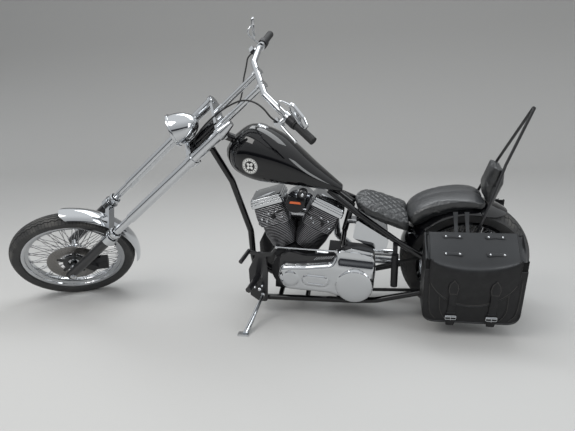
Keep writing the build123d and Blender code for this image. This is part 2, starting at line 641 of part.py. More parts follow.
foot_low = -142
cases = Rot(X=90) * Cylinder(CASE_R, 2 * CASE_HALF)
cases += slab([(-112, 96), (0, 146), (112, 96), (60, 40), (-60, 40)], -90, 90)
cases += along_y(0, 0, -PRIMARY_IN, 10, 66)
cases += Pos(0, 0, foot_low / 2) * Box(190, 120, -foot_low)
for name, side in (("front", -1), ("rear", 1)):
    cases += Rot(Y=side * V_HALF) * Pos(0, PUSHROD_Y + 4, 112) * Box(76, 32, 60)
engine_room = engine_place.inverse() * fused([rod((x, -RAIL_Y, RAIL_Z), (x, RAIL_Y, RAIL_Z), CROSS_R + SEAT)
                                              for x in CROSS_X])
port_y = HEAD_FIN_HALF + 4
rocker_boxes = []
for name, side in (("front", -1), ("rear", 1)):
    lay = Rot(Y=side * V_HALF)
    barrel = Pos(0, 0, (DECK_UP + HEAD_UP) / 2) * Cylinder(BARREL_R, HEAD_UP - DECK_UP)
    barrel_fins = [Pos(0, 0, z) * Cylinder(BARREL_FIN_R, FIN_THICK)
                   for z in range(DECK_UP + 14, HEAD_UP - 8, FIN_PITCH)]
    head_tall = ROCKER_UP - HEAD_UP
    head = Pos(0, 0, HEAD_UP + head_tall / 2) * Box(2 * BARREL_R + 10, 2 * BARREL_R, head_tall)
    head_fins = [Pos(0, 0, z) * Box(2 * HEAD_FIN_HALF, 2 * HEAD_FIN_HALF, FIN_THICK)
                 for z in range(HEAD_UP + 2, ROCKER_UP - 4, FIN_PITCH)]
    port_x = side * PORT_X
    port = rod((port_x, BARREL_R - 6, PORT_UP), (port_x, port_y, PORT_UP), PORT_R)
    cylinder = barrel.fuse(head, port, *barrel_fins, *head_fins)
    middle_cut = Rot(Y=-side * V_HALF) * Pos(-side * (100 - SEAT), 0, 220) * Box(200, 200, 440)
    cylinder -= middle_cut
    rod_cut = [Pos(side_x * PUSHROD_X, PUSHROD_Y + 20, 250) * Box(2 * PUSHROD_R + 6, 40 + 2 * PUSHROD_R, 320)
               for side_x in (-1, 1)]
    cylinder -= fused(rod_cut)
    add("cylinder_" + name, cylinder, DARK_METAL, engine_place * lay)
    rocker = Pos(0, 0, ROCKER_UP + ROCKER_TALL / 2) * Box(2 * ROCKER_HALF, 2 * ROCKER_HALF_WIDE, ROCKER_TALL)
    rocker = chamfer(rocker.edges().group_by(Axis.Z)[-1], 9)
    rocker_boxes.append(lay * rocker)
add("rocker_boxes", fused(rocker_boxes), CHROME, engine_place)
add("crankcase", cases - engine_room, DARK_METAL, engine_place)

pushrods = []
for side in (-1, 1):
    for side_x in (-1, 1):
        foot = cylinder_point(side, side_x * PUSHROD_X, PUSHROD_Y, DECK_UP + 2)
        top = cylinder_point(side, side_x * PUSHROD_X, PUSHROD_Y, ROCKER_UP)
        pushrods.append(rod(foot, top, PUSHROD_R))
add("pushrod_tubes", fused(pushrods), CHROME, engine_place)

box_x, box_y, box_z = GEARBOX
spot_x, spot_z = GEARBOX_SPOT
gearbox = Pos(spot_x, 0, spot_z) * Box(box_x, box_y, box_z)
gearbox += along_y(CLUTCH_X, 0, belt_half - PULLEY_Y - 1, 0, 45)
gearbox += Pos(spot_x - 30, 0, foot_low / 2) * Box(box_x - 90, 100, -foot_low)
add("gearbox", gearbox - engine_room, DARK_METAL, engine_place)

inner_rows = ((-66, 0, 40), (-62, 120, 30), (-20, 158, 30), (74, 142, 20), (214, 163, 20), (272, 228, 22),
              (414, 212, 24), (428, 120, 30), (424, -20, 80), (345, -84, 60), (200, -52, 60), (0, -50, 50))
primary_rows = ((-68, 20, 60), (-52, 88, 44), (78, 104, 60), (204, 131, 30), (240, 204, 40), (318, 202, 60),
                (414, 184, 24), (430, 110, 30), (428, -20, 84), (345, -90, 70), (204, -52, 80), (-30, -58, 60))
add("inner_primary", rounded_slab(inner_rows, -PRIMARY_IN, -PRIMARY_SPLIT), DARK_METAL, engine_place)
primary = rounded_slab(primary_rows, -PRIMARY_SPLIT, -PRIMARY_OUT)
bulges = ((CLUTCH_X + 2, 18, 88, CLUTCH_BULGE), (2, 22, 40, 5))
for x, z, radius, proud in bulges:
    primary += rod((x, -PRIMARY_OUT + 4, z), (x, -PRIMARY_OUT - proud, z), radius + 4, radius - 4)
oval = Pos(132, -PRIMARY_OUT - 1, 23) * Rot(X=90) * extrude(SlotOverall(136, 60), 4, both=True)
add("primary_cover", primary + oval, CHROME, engine_place)

cam_rows = ((-100, -40, 40), (-90, 70, 40), (40, 100, 50), (108, 40, 40), (90, -70, 40), (-40, -80, 40))
add("cam_cover", rounded_slab(cam_rows, CASE_HALF, CASE_HALF + CAM_COVER_THICK), CHROME, engine_place)

# Intake: a cross pipe between the heads, the carburettor and its air cleaner

intake_ends = [cylinder_point(side, -side * (BARREL_R + 5 + SEAT), 0, INTAKE_UP) for side in (-1, 1)]
intake_z = cylinder_point(1, 0, 0, INTAKE_UP)[2]
front_limit, rear_limit = [abs(end[0]) - 2 for end in intake_ends]
intake = rod((-front_limit - 30, 0, intake_z), (rear_limit + 30, 0, intake_z), INTAKE_R)
for name, side in (("front", -1), ("rear", 1)):
    fin_room = Box(2 * HEAD_FIN_HALF + 2 * SEAT, 2 * HEAD_FIN_HALF + 2 * SEAT, ROCKER_UP - HEAD_UP + 8)
    intake -= Rot(Y=side * V_HALF) * (Pos(0, 0, HEAD_UP + 56) * fin_room)
intake += along_y(0, 0, CARB_OUT, intake_z, 22)
intake += Pos(0, CARB_OUT - 22, intake_z) * Box(56, 44, 70)
add("carburettor", intake, ALLOY, engine_place)
add("air_cleaner", along_y(0, CARB_OUT, CARB_OUT + CLEANER_THICK, intake_z, CLEANER_R), CHROME, engine_place)

# Horn cover and switch knob between the rocker boxes, on a stay from the intake

horn = along_y(0, -112, -150, 420, 46) - Pos(0, -130, 470) * Box(120, 60, 60)
horn += along_y(32, -112, -136, 474, 23) + Pos(16, -118, 446) * Box(26, 12, 30)
stay = rod((0, -114, 400), (0, 0, intake_z), 8) - rod((-200, 0, intake_z), (200, 0, intake_z), INTAKE_R + SEAT)
stay -= along_y(0, 0, CARB_OUT, intake_z, INTAKE_R + SEAT)
for side in (-1, 1):
    stay -= Rot(Y=side * V_HALF) * (Pos(0, 0, 400) * Box(2 * ROCKER_HALF + 2, 2 * ROCKER_HALF_WIDE + 2, 140))
add("horn_cover", horn + stay, DARK_METAL, engine_place)

# Oil tank between the upper rails, on a tab from the seat post

oil_rows = ((-547, 588, 10), (-386, 480, 16), (-398, 424, 18), (-450, 420, 18), (-566, 486, 14))
oil_tank = rounded_slab(oil_rows, -RAIL_Y + 4, RAIL_Y - 4)
oil_tank += Pos(-575, 0, 530) * Box(40, 40, 24)
oil_room = [seat_post(RAIL_R + SEAT), upper_rail(-1, RAIL_R + SEAT), upper_rail(1, RAIL_R + SEAT)]
for name, side in SIDES:
    oil_room.append(tube([(-609, 0, 480), (-622, side * 95, 400), (-642, side * 95, RAIL_Z)], POST_R + SEAT, 40))
add("oil_tank", oil_tank - fused(oil_room), CHROME)

filter_x, filter_y = -355, -RAIL_Y - 36
canister = rod((filter_x, filter_y, 236), (filter_x, filter_y, 420), 18)
canister += Pos(filter_x, filter_y + 16, 444) * Box(22, 36, 50)
add("oil_filter", canister - upper_rail(-1, RAIL_R + SEAT), DARK_METAL)

# Belt drive

pulley_x, pulley_y, pulley_z = engine_point(CLUTCH_X, -PULLEY_Y, 0)
pulley = along_y(pulley_x, -PULLEY_Y - belt_half + 1, belt_half - PULLEY_Y - 1, pulley_z, PULLEY_R)
add("gearbox_pulley", pulley, ALLOY)


def belt_loop(extra, width):
    reach = sqrt(pulley_x ** 2 + (REAR_R - pulley_z) ** 2)
    small, large = PULLEY_R + extra, REAR_PULLEY_R + extra
    spread = acos((large - small) / reach)
    near = (small * cos(spread), small * sin(spread))
    far = (large * cos(spread) - reach, large * sin(spread))
    loop = make_face(Curve() + [ThreePointArc(near, (small, 0), (near[0], -near[1])),
                                Line((near[0], -near[1]), (far[0], -far[1])),
                                ThreePointArc((far[0], -far[1]), (-reach - large, 0), far),
                                Line(far, near)])
    return extrude(loop, width / 2, both=True)


belt = Rot(X=90) * (belt_loop(SEAT + BELT_THICK, BELT_WIDE) - belt_loop(SEAT, 2 * BELT_WIDE))
rise = degrees(atan2(REAR_R - pulley_z, -pulley_x))
add("drive_belt", Pos(pulley_x, pulley_y, pulley_z) * Rot(Y=180 - rise) * belt, RUBBER)

# Exhaust pipes from the ports down the right side

PIPE_Y = 205
PIPE_RUNS = (
    # side, knee x, knee z, elbow x, low z, end x
    (-1, -190, 70, -8, -62, 610),
    (1, 216, 90, 330, -6, 560),
)
pipes = []
for side, knee_x, knee_z, elbow_x, low_z, end_x in PIPE_RUNS:
    port_x, y, port_z = cylinder_point(side, side * PORT_X, port_y, PORT_UP)
    run = [(port_x, port_y, port_z), (port_x, PIPE_Y, port_z), (knee_x, PIPE_Y, knee_z),
           (elbow_x, PIPE_Y, low_z), (end_x, PIPE_Y, low_z + 12)]
    pipe = tube(run, PIPE_R, 42) - tube([run[-2], run[-1]], PIPE_R - 3, 1)
    pipes.append(pipe)
add("exhaust_pipes", fused(pipes), CHROME, engine_place)

# Tank, in sections along its length

TANK_ROWS = (
    # x, bottom, widest height, top, half width, half width of the bottom
    (-1197, 862, 905, 940, 34, 20),
    (-1150, 818, 892, 998, 100, 52),
    (-1050, 782, 872, 1046, 146, 90),
    (-900, 762, 838, 984, 141, 90),
    (-740, 728, 768, 832, 88, 60),
    (-624, 698, 710, 726, 34, 24),
)


def tank_section(x, bottom, side_z, top, half, bottom_half):
    upper_y, upper_z = half * 0.74, side_z + (top - side_z) * 0.7
    lower_y, lower_z = (half + bottom_half) / 2 + half * 0.09, (side_z + bottom) / 2
    edges = [ThreePointArc((x, -bottom_half, bottom), (x, -lower_y, lower_z), (x, -half, side_z)),
             ThreePointArc((x, -half, side_z), (x, -upper_y, upper_z), (x, 0, top)),
             ThreePointArc((x, 0, top), (x, upper_y, upper_z), (x, half, side_z)),
             ThreePointArc((x, half, side_z), (x, lower_y, lower_z), (x, bottom_half, bottom)),
             Line((x, bottom_half, bottom), (x, -bottom_half, bottom))]
    return make_face(Curve() + edges)


tank = loft([tank_section(*row) for row in TANK_ROWS])
tunnel = BACKBONE_R + SEAT
tank -= backbone(tunnel)
tank -= slab([(-1260, 990), (-1000, 905), (-680, 715), (-570, 625), (-700, 500), (-1250, 700)], -tunnel, tunnel)
tank -= upper_rail(-1, RAIL_R + SEAT) + upper_rail(1, RAIL_R + SEAT)
tank -= rod(fork_point(0, 0, -TREE_GAP), fork_point(0, 0, 0), NECK_R + RUNNING)
fuel_cap = Pos(CAP_SPOT[0], 0, CAP_SPOT[1]) * Rot(Y=20) * Cylinder(CAP_R, CAP_TALL)
add("fuel_tank", tank - fuel_cap, BLACK_PAINT)
add("fuel_cap", fuel_cap, CHROME)

# Seats: the rider's on the rails and the fender, the pillion pad along the fender

rear_fender_r = REAR_R + REAR_FENDER_GAP + FENDER_SHEET
fender_top = along_y(0, -2 * SEAT_HALF, 2 * SEAT_HALF, REAR_R, rear_fender_r + SEAT)
rider_rows = ((-556, 640, 10), (-536, 676, 14), (-440, 646, 60), (-308, 592, 10), (-296, 528, 10),
              (-388, 566, 40), (-486, 622, 30))
plan_rows = ((-562, -62, 40), (-500, -SEAT_HALF, 60), (-290, -SEAT_HALF, 8), (-290, SEAT_HALF, 8),
             (-500, SEAT_HALF, 60), (-562, 62, 40))
plan = make_face(FilletPolyline(*[(x, y) for x, y, r in plan_rows], radius=[r for x, y, r in plan_rows], close=True))
rider = rounded_slab(rider_rows, -SEAT_HALF - 2, SEAT_HALF + 2) & Pos(0, 0, 480) * extrude(plan, 240)
rider += slab([(-540, 650), (-540, 622), (-480, 585), (-286, 470), (-290, 530), (-420, 590)], -60, 60)
rider_room = [fender_top, backbone(BACKBONE_R + SEAT), seat_post(RAIL_R + SEAT)]
rider_room += [upper_rail(side, RAIL_R + SEAT) for name, side in SIDES]
add("rider_seat", rider - fused(rider_room) - oil_tank, LEATHER)

pad_out = rear_fender_r + PILLION_THICK
pad_from, pad_to = 82, 137


def wheel_arc(angle, radius, y=0):
    return (radius * cos(radians(angle)), y, REAR_R + radius * sin(radians(angle)))


pad_middle = (pad_from + pad_to) / 2
pad_in = rear_fender_r + SEAT
low_nose = wheel_arc(pad_to, pad_in)
pad_edges = [ThreePointArc(wheel_arc(pad_from, pad_in), wheel_arc(pad_middle, pad_in), low_nose),
             Line(low_nose, wheel_arc(pad_to, pad_in + 36)),
             ThreePointArc(wheel_arc(pad_to, pad_in + 36), wheel_arc(pad_middle - 4, pad_out - 6),
                           wheel_arc(pad_from + 6, pad_out - 38)),
             Line(wheel_arc(pad_from + 6, pad_out - 38), wheel_arc(pad_from, pad_in))]
pillion = plate_across(Curve() + pad_edges, -PILLION_HALF, PILLION_HALF)
add("pillion_pad", pillion, LEATHER)

# Sissy bar up from the axle plates, the backrest on its cross bars

strut_y = REAR_FENDER_HALF + SISSY_R + SEAT
sissy_foot = (4, plate_out + SISSY_R + SEAT, REAR_R + 20)
sissy = []
for name, side in SIDES:
    way = [sissy_foot, (8, sissy_foot[1], REAR_R + 70), (22, strut_y + 6, REAR_R + 200), (52, strut_y, REAR_R + 296), (82, 106, REAR_R + 386),
           (132, 60, REAR_R + 534), (232, 7, REAR_R + 783)]
    sissy.append(tube([(x, side * y, z) for x, y, z in way], SISSY_R, 40))
    sissy.append(rounded_slab([(-16, REAR_R - 20, 12), (24, REAR_R - 20, 12), (24, REAR_R + 44, 12),
                               (-16, REAR_R + 44, 12)], side * plate_out, side * strut_out))
sissy.append(rod((232, -7, REAR_R + 783), (232, 7, REAR_R + 783), SISSY_R))
CROSS_BARS = ((96, 92, REAR_R + 430), (118, 73, REAR_R + 492))
for x, half, z in CROSS_BARS:
    sissy.append(rod((x, -half, z), (x, half, z), 5))
sissy_bar = fused(sissy) - along_y(0, -300, 300, REAR_R, AXLE_R + FIT)
add("sissy_bar", sissy_bar, DARK_METAL)
backrest = rounded_slab([(54, 690, 8), (82, 836, 16), (126, 828, 14), (100, 680, 8)], -BACKREST_HALF, BACKREST_HALF)
backrest_room = [tube([(x, side * y, z) for x, y, z in way], SISSY_R + SEAT, 40) for name, side in SIDES]
backrest_room += [rod((x, -half - 20, z), (x, half + 20, z), 5 + SEAT) for x, half, z in CROSS_BARS]
backrest_cut = backrest - fused(backrest_room)
add("backrest_pad", max(backrest_cut.solids(), key=lambda piece: piece.volume), LEATHER)

rear_fender = fender_ring(rear_fender_r, REAR_FENDER_DROP, REAR_FENDER_HALF, REAR_FENDER_TIP, REAR_FENDER_NOSE)
rear_fender -= round_tip(REAR_FENDER_TIP, rear_fender_r, REAR_FENDER_HALF, -1)
add("rear_fender", rear_fender, BLACK_PAINT, rear_axle)

# Number plate and tail lamp on a bracket from the right axle plate

plate_arm = slab([(28, REAR_R - 24), (46, REAR_R - 20), (286, REAR_R + 30), (286, REAR_R + 60), (46, REAR_R - 2),
                  (28, REAR_R - 4)], plate_out, plate_out + 4)
tail = plate_arm + Pos(284, plate_out + 46, REAR_R + 56) * Box(4, 176, 118)
add("number_plate", tail, BLACK_PAINT)
add("tail_lamp", Pos(290, plate_out + 46, REAR_R + 96) * Box(8, 90, 26), RED_GLASS)

# Saddlebags: open shells with a lid hinged along the inner top edge


def bag_outline(inset):
    corner = BAG_CORNER_R - inset
    top = BAG_HINGE_Z + 40 * (inset > 0)
    return ((BAG_FRONT + inset, top, 0), (BAG_BACK - inset, top, 0), (BAG_BACK - inset, BAG_BOTTOM_Z + inset, corner),
            (BAG_FRONT + inset, BAG_BOTTOM_Z + inset, corner))


lid_clear = LID_WALL + LID_GAP
lid_drop = LID_TALL + SEAT
top_cut = across([(-BAG_IN + 1, BAG_HINGE_Z - lid_drop), (-BAG_OUT - 60, BAG_CREASE_Z - lid_drop - 60 / 134 * 122),
                  (-BAG_OUT - 60, BAG_HINGE_Z + 60), (-BAG_IN + 1, BAG_HINGE_Z + 60)], BAG_FRONT - 1, BAG_BACK + 1)
bag = rounded_slab(bag_outline(0), -BAG_IN, -BAG_OUT)
bag -= rounded_slab(bag_outline(BAG_WALL), -BAG_IN - BAG_WALL, -BAG_OUT + BAG_WALL)
bag -= top_cut

lid_out = BAG_OUT + lid_clear
lid_top = across([(-BAG_IN, BAG_HINGE_Z), (-lid_out, BAG_CREASE_Z), (-lid_out, BAG_CREASE_Z - LID_TALL),
                  (-BAG_IN, BAG_HINGE_Z - LID_TALL)], LID_FRONT, LID_BACK)
flap_edges = [Line((LID_FRONT, 0, BAG_CREASE_Z), (LID_BACK, 0, BAG_CREASE_Z)),
              Line((LID_BACK, 0, BAG_CREASE_Z), (LID_BACK, 0, LID_EDGE_Z)),
              ThreePointArc((LID_BACK, 0, LID_EDGE_Z), ((LID_FRONT + LID_BACK) / 2, 0, LID_MIDDLE_Z),
                            (LID_FRONT, 0, LID_EDGE_Z)),
              Line((LID_FRONT, 0, LID_EDGE_Z), (LID_FRONT, 0, BAG_CREASE_Z))]
flap = plate_across(Curve() + flap_edges, -lid_out, LID_WALL - lid_out)
add("saddlebag_left", bag, LEATHER)
add("saddlebag_right", mirrored(bag), LEATHER)
add("saddlebag_lid_left", lid_top + flap, LEATHER)
add("saddlebag_lid_right", mirrored(lid_top + flap), LEATHER)

# Leather yoke from each bag up to the fender's side

fender_side = REAR_FENDER_HALF + SEAT
yoke = across([(-BAG_IN, 500), (-BAG_IN, 560), (-160, 600), (-fender_side - 5, 644), (-fender_side, 640),
               (-fender_side, 606), (-156, 590), (5 - BAG_IN, 556), (5 - BAG_IN, 500)], -96, -16)
add("saddlebag_yokes", yoke + mirrored(yoke), LEATHER)

# Foot controls on a bracket against the lower rail, and the shift linkage

bracket_in = RAIL_Y + RAIL_R + SEAT
BRACKET_THICK = 12
bracket_out = bracket_in + BRACKET_THICK
LEVER_THICK = 10
lever_out = bracket_out + LEVER_THICK
ROD_Y = 172
rod_front = (-951, 453)
rod_rear = (-647, 437)
foot_controls = []
for name, side in SIDES:
    bracket = rounded_slab([(-1118, 134, 10), (-1114, 300, 20), (-1062, 404, 16), (-1018, 404, 16), (-1012, 280, 30),
                            (-1026, 96, 14), (-1072, 96, 14)], side * bracket_in, side * bracket_out)
    peg = rod((-1066, side * bracket_out, 258), (-1086, side * 302, 268), 15)
    lever_rows = [(-1112, 424, 8), (-1040, 404, 12), (-984, 410, 12), (rod_front[0] + 8, rod_front[1] + 9, 4),
                  (rod_front[0] + 8, rod_front[1] - 9, 4), (-984, 390, 12), (-1040, 382, 12), (-1112, 404, 8)]
    lever = rounded_slab(lever_rows, side * bracket_out, side * lever_out)
    toe = rod((-1102, side * bracket_out, 414), (-1122, side * 262, 410), 11)
    foot_controls += [bracket, peg, lever, toe]
add("foot_controls", fused(foot_controls), DARK_METAL)

shift = [rod((rod_front[0], -ROD_Y - 4, rod_front[1]), (rod_rear[0], -ROD_Y - 4, rod_rear[1]), 4),
         along_y(rod_front[0], -lever_out, -ROD_Y - 9, rod_front[1], 7),
         along_y(rod_rear[0], -PRIMARY_SPLIT, -ROD_Y - 9, rod_rear[1], 8)]
add("shift_rod", fused(shift), CHROME)

# Side stand, from its pivot to a foot flat on the ground

foot_place = bike_place.inverse() * Pos(STAND_FOOT[0], STAND_FOOT[1], FOOT_PLATE[2] / 2)
stand_pivot = Vector(*STAND_PIVOT)
leg = rod(STAND_PIVOT, tuple(foot_place.position), STAND_TOP_R, STAND_END_R)
leg_way = (foot_place.position - stand_pivot).normalized()
fold_way = Vector(1, -0.06, -0.02).normalized()
stand_axis = leg_way.cross(fold_way).normalized()
leg += Pos(*STAND_PIVOT) * Sphere(abs(STAND_PIVOT[1]) - bracket_out - SEAT)
pin_reach = stand_axis * (STAND_PIN_LONG / 2)
leg += rod(tuple(stand_pivot - pin_reach), tuple(stand_pivot + pin_reach), STAND_PIN_R)
leg -= foot_place * Pos(0, 0, -50 - FOOT_PLATE[2] / 2) * Box(200, 200, 100)
foot = foot_place * Pos(-10, 0, 0) * Box(*FOOT_PLATE)
fold_angle = degrees(acos(leg_way.dot(fold_way)))
add("side_stand", leg + foot, CHROME)

# Cables that the fork carries: from each hand control to the neck, in fork coordinates

cable_r = 4
lever_x, lever_y, lever_z = lever_spot
tree_top, lower_top = TOP_TREE_THICK / 2 + SEAT, TREE_THICK / 2 - TREE_GAP + SEAT
clutch_way = [(lever_x - LEVER_BOX[0] / 2 - SEAT, -lever_y, lever_z), (-22, -lever_y, lever_z), (-52, -264, 287),
              (-74, -226, 273), (-86, -182, 243), (-84, -136, 199), (-76, -98, 148), (-68, -66, 94), (-64, -46, 36),
              (-62, -38, -26), (-56, -34, -86), (-44, -34, -138), (-44, -34, lower_top)]
brake_way = [(lever_x, lever_y, lever_z - LEVER_BOX[2] / 2 - SEAT), (lever_x, lever_y, 240), (48, 258, 204), (50, 214, 176),
             (54, 164, 150), (60, 110, 122), (54, 62, 86), (34, 22, 46), (28, 12, 30), (28, 12, tree_top)]


def cord_tube(points, radius):
    """Straight runs joined by arcs as large as their runs allow."""
    corners = [Vector(*p) for p in points]
    bends = []
    for before, at, after in zip(corners, corners[1:], corners[2:]):
        turn = radians((at - before).get_angle(after - at))
        shorter = min((at - before).length, (after - at).length)
        bends.append(0.45 * shorter / max(sin(turn / 2) / cos(turn / 2), 0.01))
    print("cord radii", [round(b) for b in bends])
    path = FilletPolyline(*corners, radius=bends)
    return sweep(Plane(origin=path @ 0, z_dir=path % 0) * Circle(radius), path=path)


add("clutch_cable", cord_tube(clutch_way, cable_r), RUBBER, fork_place)
add("brake_hose", cord_tube(brake_way, cable_r), RUBBER, fork_place)

# Set down on the ground with the middle of the bounding box over the origin

placed = {name: bike_place * shape for name, (shape, color) in nodes.items()}
boxes = [shape.bounding_box() for shape in placed.values()]
x_mid = (min(box.min.X for box in boxes) + max(box.max.X for box in boxes)) / 2
y_mid = (min(box.min.Y for box in boxes) + max(box.max.Y for box in boxes)) / 2
z_low = min(box.min.Z for box in boxes)
ground = Pos(-x_mid, -y_mid, -z_low)
world = ground * bike_place


def told(name, point, direction, travel):
    """Print a joint's place and axis in the stored frame, in metres, and its travel."""
    place = (world * Pos(*point)).position / 1000
    tip = (world * Pos(*(Vector(*point) + Vector(*direction)))).position / 1000
    way = (tip - place).normalized()
    print(name, [round(v, 6) for v in place], [round(v, 6) for v in way], travel)


print("pitch", PITCH, "lowest", z_low)
told("steering", HEAD, (sin(radians(RAKE)), 0, cos(radians(RAKE))), [-2 * STEER, 0])
told("front_axle", in_front_wheel.position, Plane(in_front_wheel).y_dir, "free")
told("rear_axle", (0, 0, REAR_R), (0, 1, 0), "free")
told("side_stand", STAND_PIVOT, stand_axis, [0, round(fold_angle, 1)])
told("lid_left", (0, -BAG_IN, BAG_HINGE_Z), (-1, 0, 0), [0, LID_SWING])
told("lid_right", (0, BAG_IN, BAG_HINGE_Z), (1, 0, 0), [0, LID_SWING])

for name, shape in placed.items():
    solid = ground * shape
    solid.label = name
    solid.color = nodes[name][1]
    export_step(solid, "parts/" + name + ".step")
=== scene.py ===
# %% [markdown]
# # A chopper on its side stand
# The CAD model gives every part its place, size and joints. This lesson dresses it.
# We set the camera, make the materials, and then build the pieces that machined solids
# can't show: tyres, laced wheels, a sculpted tank, finned cylinders and stitched leather.
# Lengths are in millimetres in the part's own drawing frames, and one helper turns them
# into metres in the shared frame.

# %% Load the frame
import json
from math import asin, cos, pi, radians, sin, sqrt

import bpy
from mathutils import Matrix, Vector, geometry, noise


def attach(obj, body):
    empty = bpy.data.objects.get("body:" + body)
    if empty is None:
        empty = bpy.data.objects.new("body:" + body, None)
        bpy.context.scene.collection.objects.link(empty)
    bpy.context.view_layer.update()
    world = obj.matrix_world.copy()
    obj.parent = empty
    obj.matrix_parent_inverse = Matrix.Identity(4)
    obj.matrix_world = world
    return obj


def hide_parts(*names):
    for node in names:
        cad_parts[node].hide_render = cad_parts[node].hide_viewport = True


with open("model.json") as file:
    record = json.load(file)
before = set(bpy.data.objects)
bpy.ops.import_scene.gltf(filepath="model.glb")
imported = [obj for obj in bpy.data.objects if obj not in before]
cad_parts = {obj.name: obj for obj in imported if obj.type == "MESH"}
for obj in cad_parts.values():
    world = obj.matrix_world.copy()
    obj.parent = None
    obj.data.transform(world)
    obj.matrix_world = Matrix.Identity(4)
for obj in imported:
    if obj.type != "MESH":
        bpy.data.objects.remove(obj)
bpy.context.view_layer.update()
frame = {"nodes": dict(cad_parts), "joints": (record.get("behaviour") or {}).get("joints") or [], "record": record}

# %% [markdown]
# ## Drawing frames
# A motorcycle is drawn upright, with its rear axle over the origin, and then leaned onto
# its stand. We could work out every place in the leaned position by hand. It is easier to
# give the whole bike, the turned fork, the engine and the wheels a frame each, draw in
# round numbers inside them, and let one matrix product carry the lean and the steering.

# %% Drawing frames
MM = 0.001
LEAN = radians(13)
PITCH = radians(0.76263)
RAKE = radians(49.8)
STEER = radians(31.5)
ENGINE_TILT = radians(5.5)
REAR_AXLE_Z = 322
HEAD = (-1225.5, 0, 1070.6)
CRANK = (-887, 0, 264)
FRONT_AXLE = (-26, 0, -1270)


def moved(x, y, z):
    return Matrix.Translation(Vector((x, y, z)) * MM)


joint_at = {joint["name"]: Vector(joint["pos_m"]) for joint in frame["joints"]}
BIKE = (Matrix.Translation(joint_at["rear_wheel_spin"]) @ Matrix.Rotation(LEAN, 4, "X")
        @ Matrix.Rotation(PITCH, 4, "Y") @ moved(0, 0, -REAR_AXLE_Z))
FORK = BIKE @ moved(*HEAD) @ Matrix.Rotation(RAKE, 4, "Y") @ Matrix.Rotation(STEER, 4, "Z")
ENGINE = BIKE @ moved(*CRANK) @ Matrix.Rotation(ENGINE_TILT, 4, "Y")
REAR_WHEEL = BIKE @ moved(0, 0, REAR_AXLE_Z)
FRONT_WHEEL = FORK @ moved(*FRONT_AXLE) @ Matrix.Rotation(-RAKE, 4, "Y")
print("front wheel centre", [round(v, 3) for v in FRONT_WHEEL.translation])

# %% [markdown]
# ## Camera
# The photograph was taken close in with a short lens, from a little above the tank. A
# camera can be aimed with a tracking constraint, but then its roll can't be matched. Here
# it is given by its place and three directions, so that lean and roll agree with the photo.

# %% Camera
CAMERA_AT = Vector((628.2, -2530.64, 1149.43)) * MM
CAMERA_AHEAD = Vector((-0.162025, 0.960588, -0.225872))
CAMERA_RIGHT = Vector((0.98677, 0.159056, -0.031407))
CAMERA_UP = Vector((-0.005757, 0.227972, 0.973651))
CAMERA_LENS = 31.31

camera_data = bpy.data.cameras.new("camera")
camera_data.lens = CAMERA_LENS
camera = bpy.data.objects.new("camera", camera_data)
bpy.context.collection.objects.link(camera)
camera_turn = Matrix((CAMERA_RIGHT, CAMERA_UP, -CAMERA_AHEAD)).transposed().to_4x4()
camera.matrix_world = Matrix.Translation(CAMERA_AT) @ camera_turn
bpy.context.scene.camera = camera
print("camera at", [round(v, 3) for v in CAMERA_AT], "with a lens of", CAMERA_LENS, "mm")

# %% [markdown]
# ## Shader maths
# Surface patterns such as tread blocks and a round badge are formulas over the place on
# the piece. In the editor each sign would be a node placed by hand. A shader socket
# wrapped in a small class adds and multiplies like a number, so a pattern reads as a
# formula, and one method makes every other kind of node.


# %% Shader maths
class Value:
    """A shader socket that behaves like a number."""

    def __init__(self, tree, socket):
        self.tree, self.socket = tree, socket

    def node(self, kind, inputs, output=0, **settings):
        """A node of any kind, fed from a dict of socket name or number to value."""
        made = self.tree.nodes.new(kind)
        for name, setting in settings.items():
            setattr(made, name, setting)
        for name, value in inputs.items():
            if isinstance(value, Value):
                self.tree.links.new(value.socket, made.inputs[name])
            else:
                made.inputs[name].default_value = value
        return Value(self.tree, made.outputs[output])

    def maths(self, operation, first, second=0.0):
        return self.node("ShaderNodeMath", {0: first, 1: second}, operation=operation)

    def __add__(self, other):
        return self.maths("ADD", self, other)

    def __sub__(self, other):
        return self.maths("SUBTRACT", self, other)

    def __rsub__(self, other):
        return self.maths("SUBTRACT", other, self)

    def __mul__(self, other):
        return self.maths("MULTIPLY", self, other)

    def __pow__(self, other):
        return self.maths("POWER", self, other)

    def __lt__(self, other):
        return self.maths("LESS_THAN", self, other)

    def __gt__(self, other):
        return self.maths("GREATER_THAN", self, other)

    def __abs__(self):
        return self.maths("ABSOLUTE", self)

    __radd__ = __add__
    __rmul__ = __mul__

    def sine(self):
        return self.maths("SINE", self)

    def smooth(self, low, high):
        """0 below low, 1 above high, and an even rise between."""
        return self.node("ShaderNodeMapRange", {0: self, 1: low, 2: high},
                         interpolation_type="SMOOTHSTEP")

    def mixed(self, first, second):
        """first where this is 0 and second where it is 1; both are colours."""
        return self.node("ShaderNodeMix", {0: self, 6: first, 7: second}, output=2,
                         data_type="RGBA")


# %% [markdown]
# ## Materials
# Every finish on the bike is one Principled shader: a colour, how metallic and how rough
# it is, and a coat for lacquer. Fixed values are set on the sockets. What changes over
# the surface comes from a recipe: a function that gets the place on the piece and returns
# the base colour, the roughness or the height of fine relief.


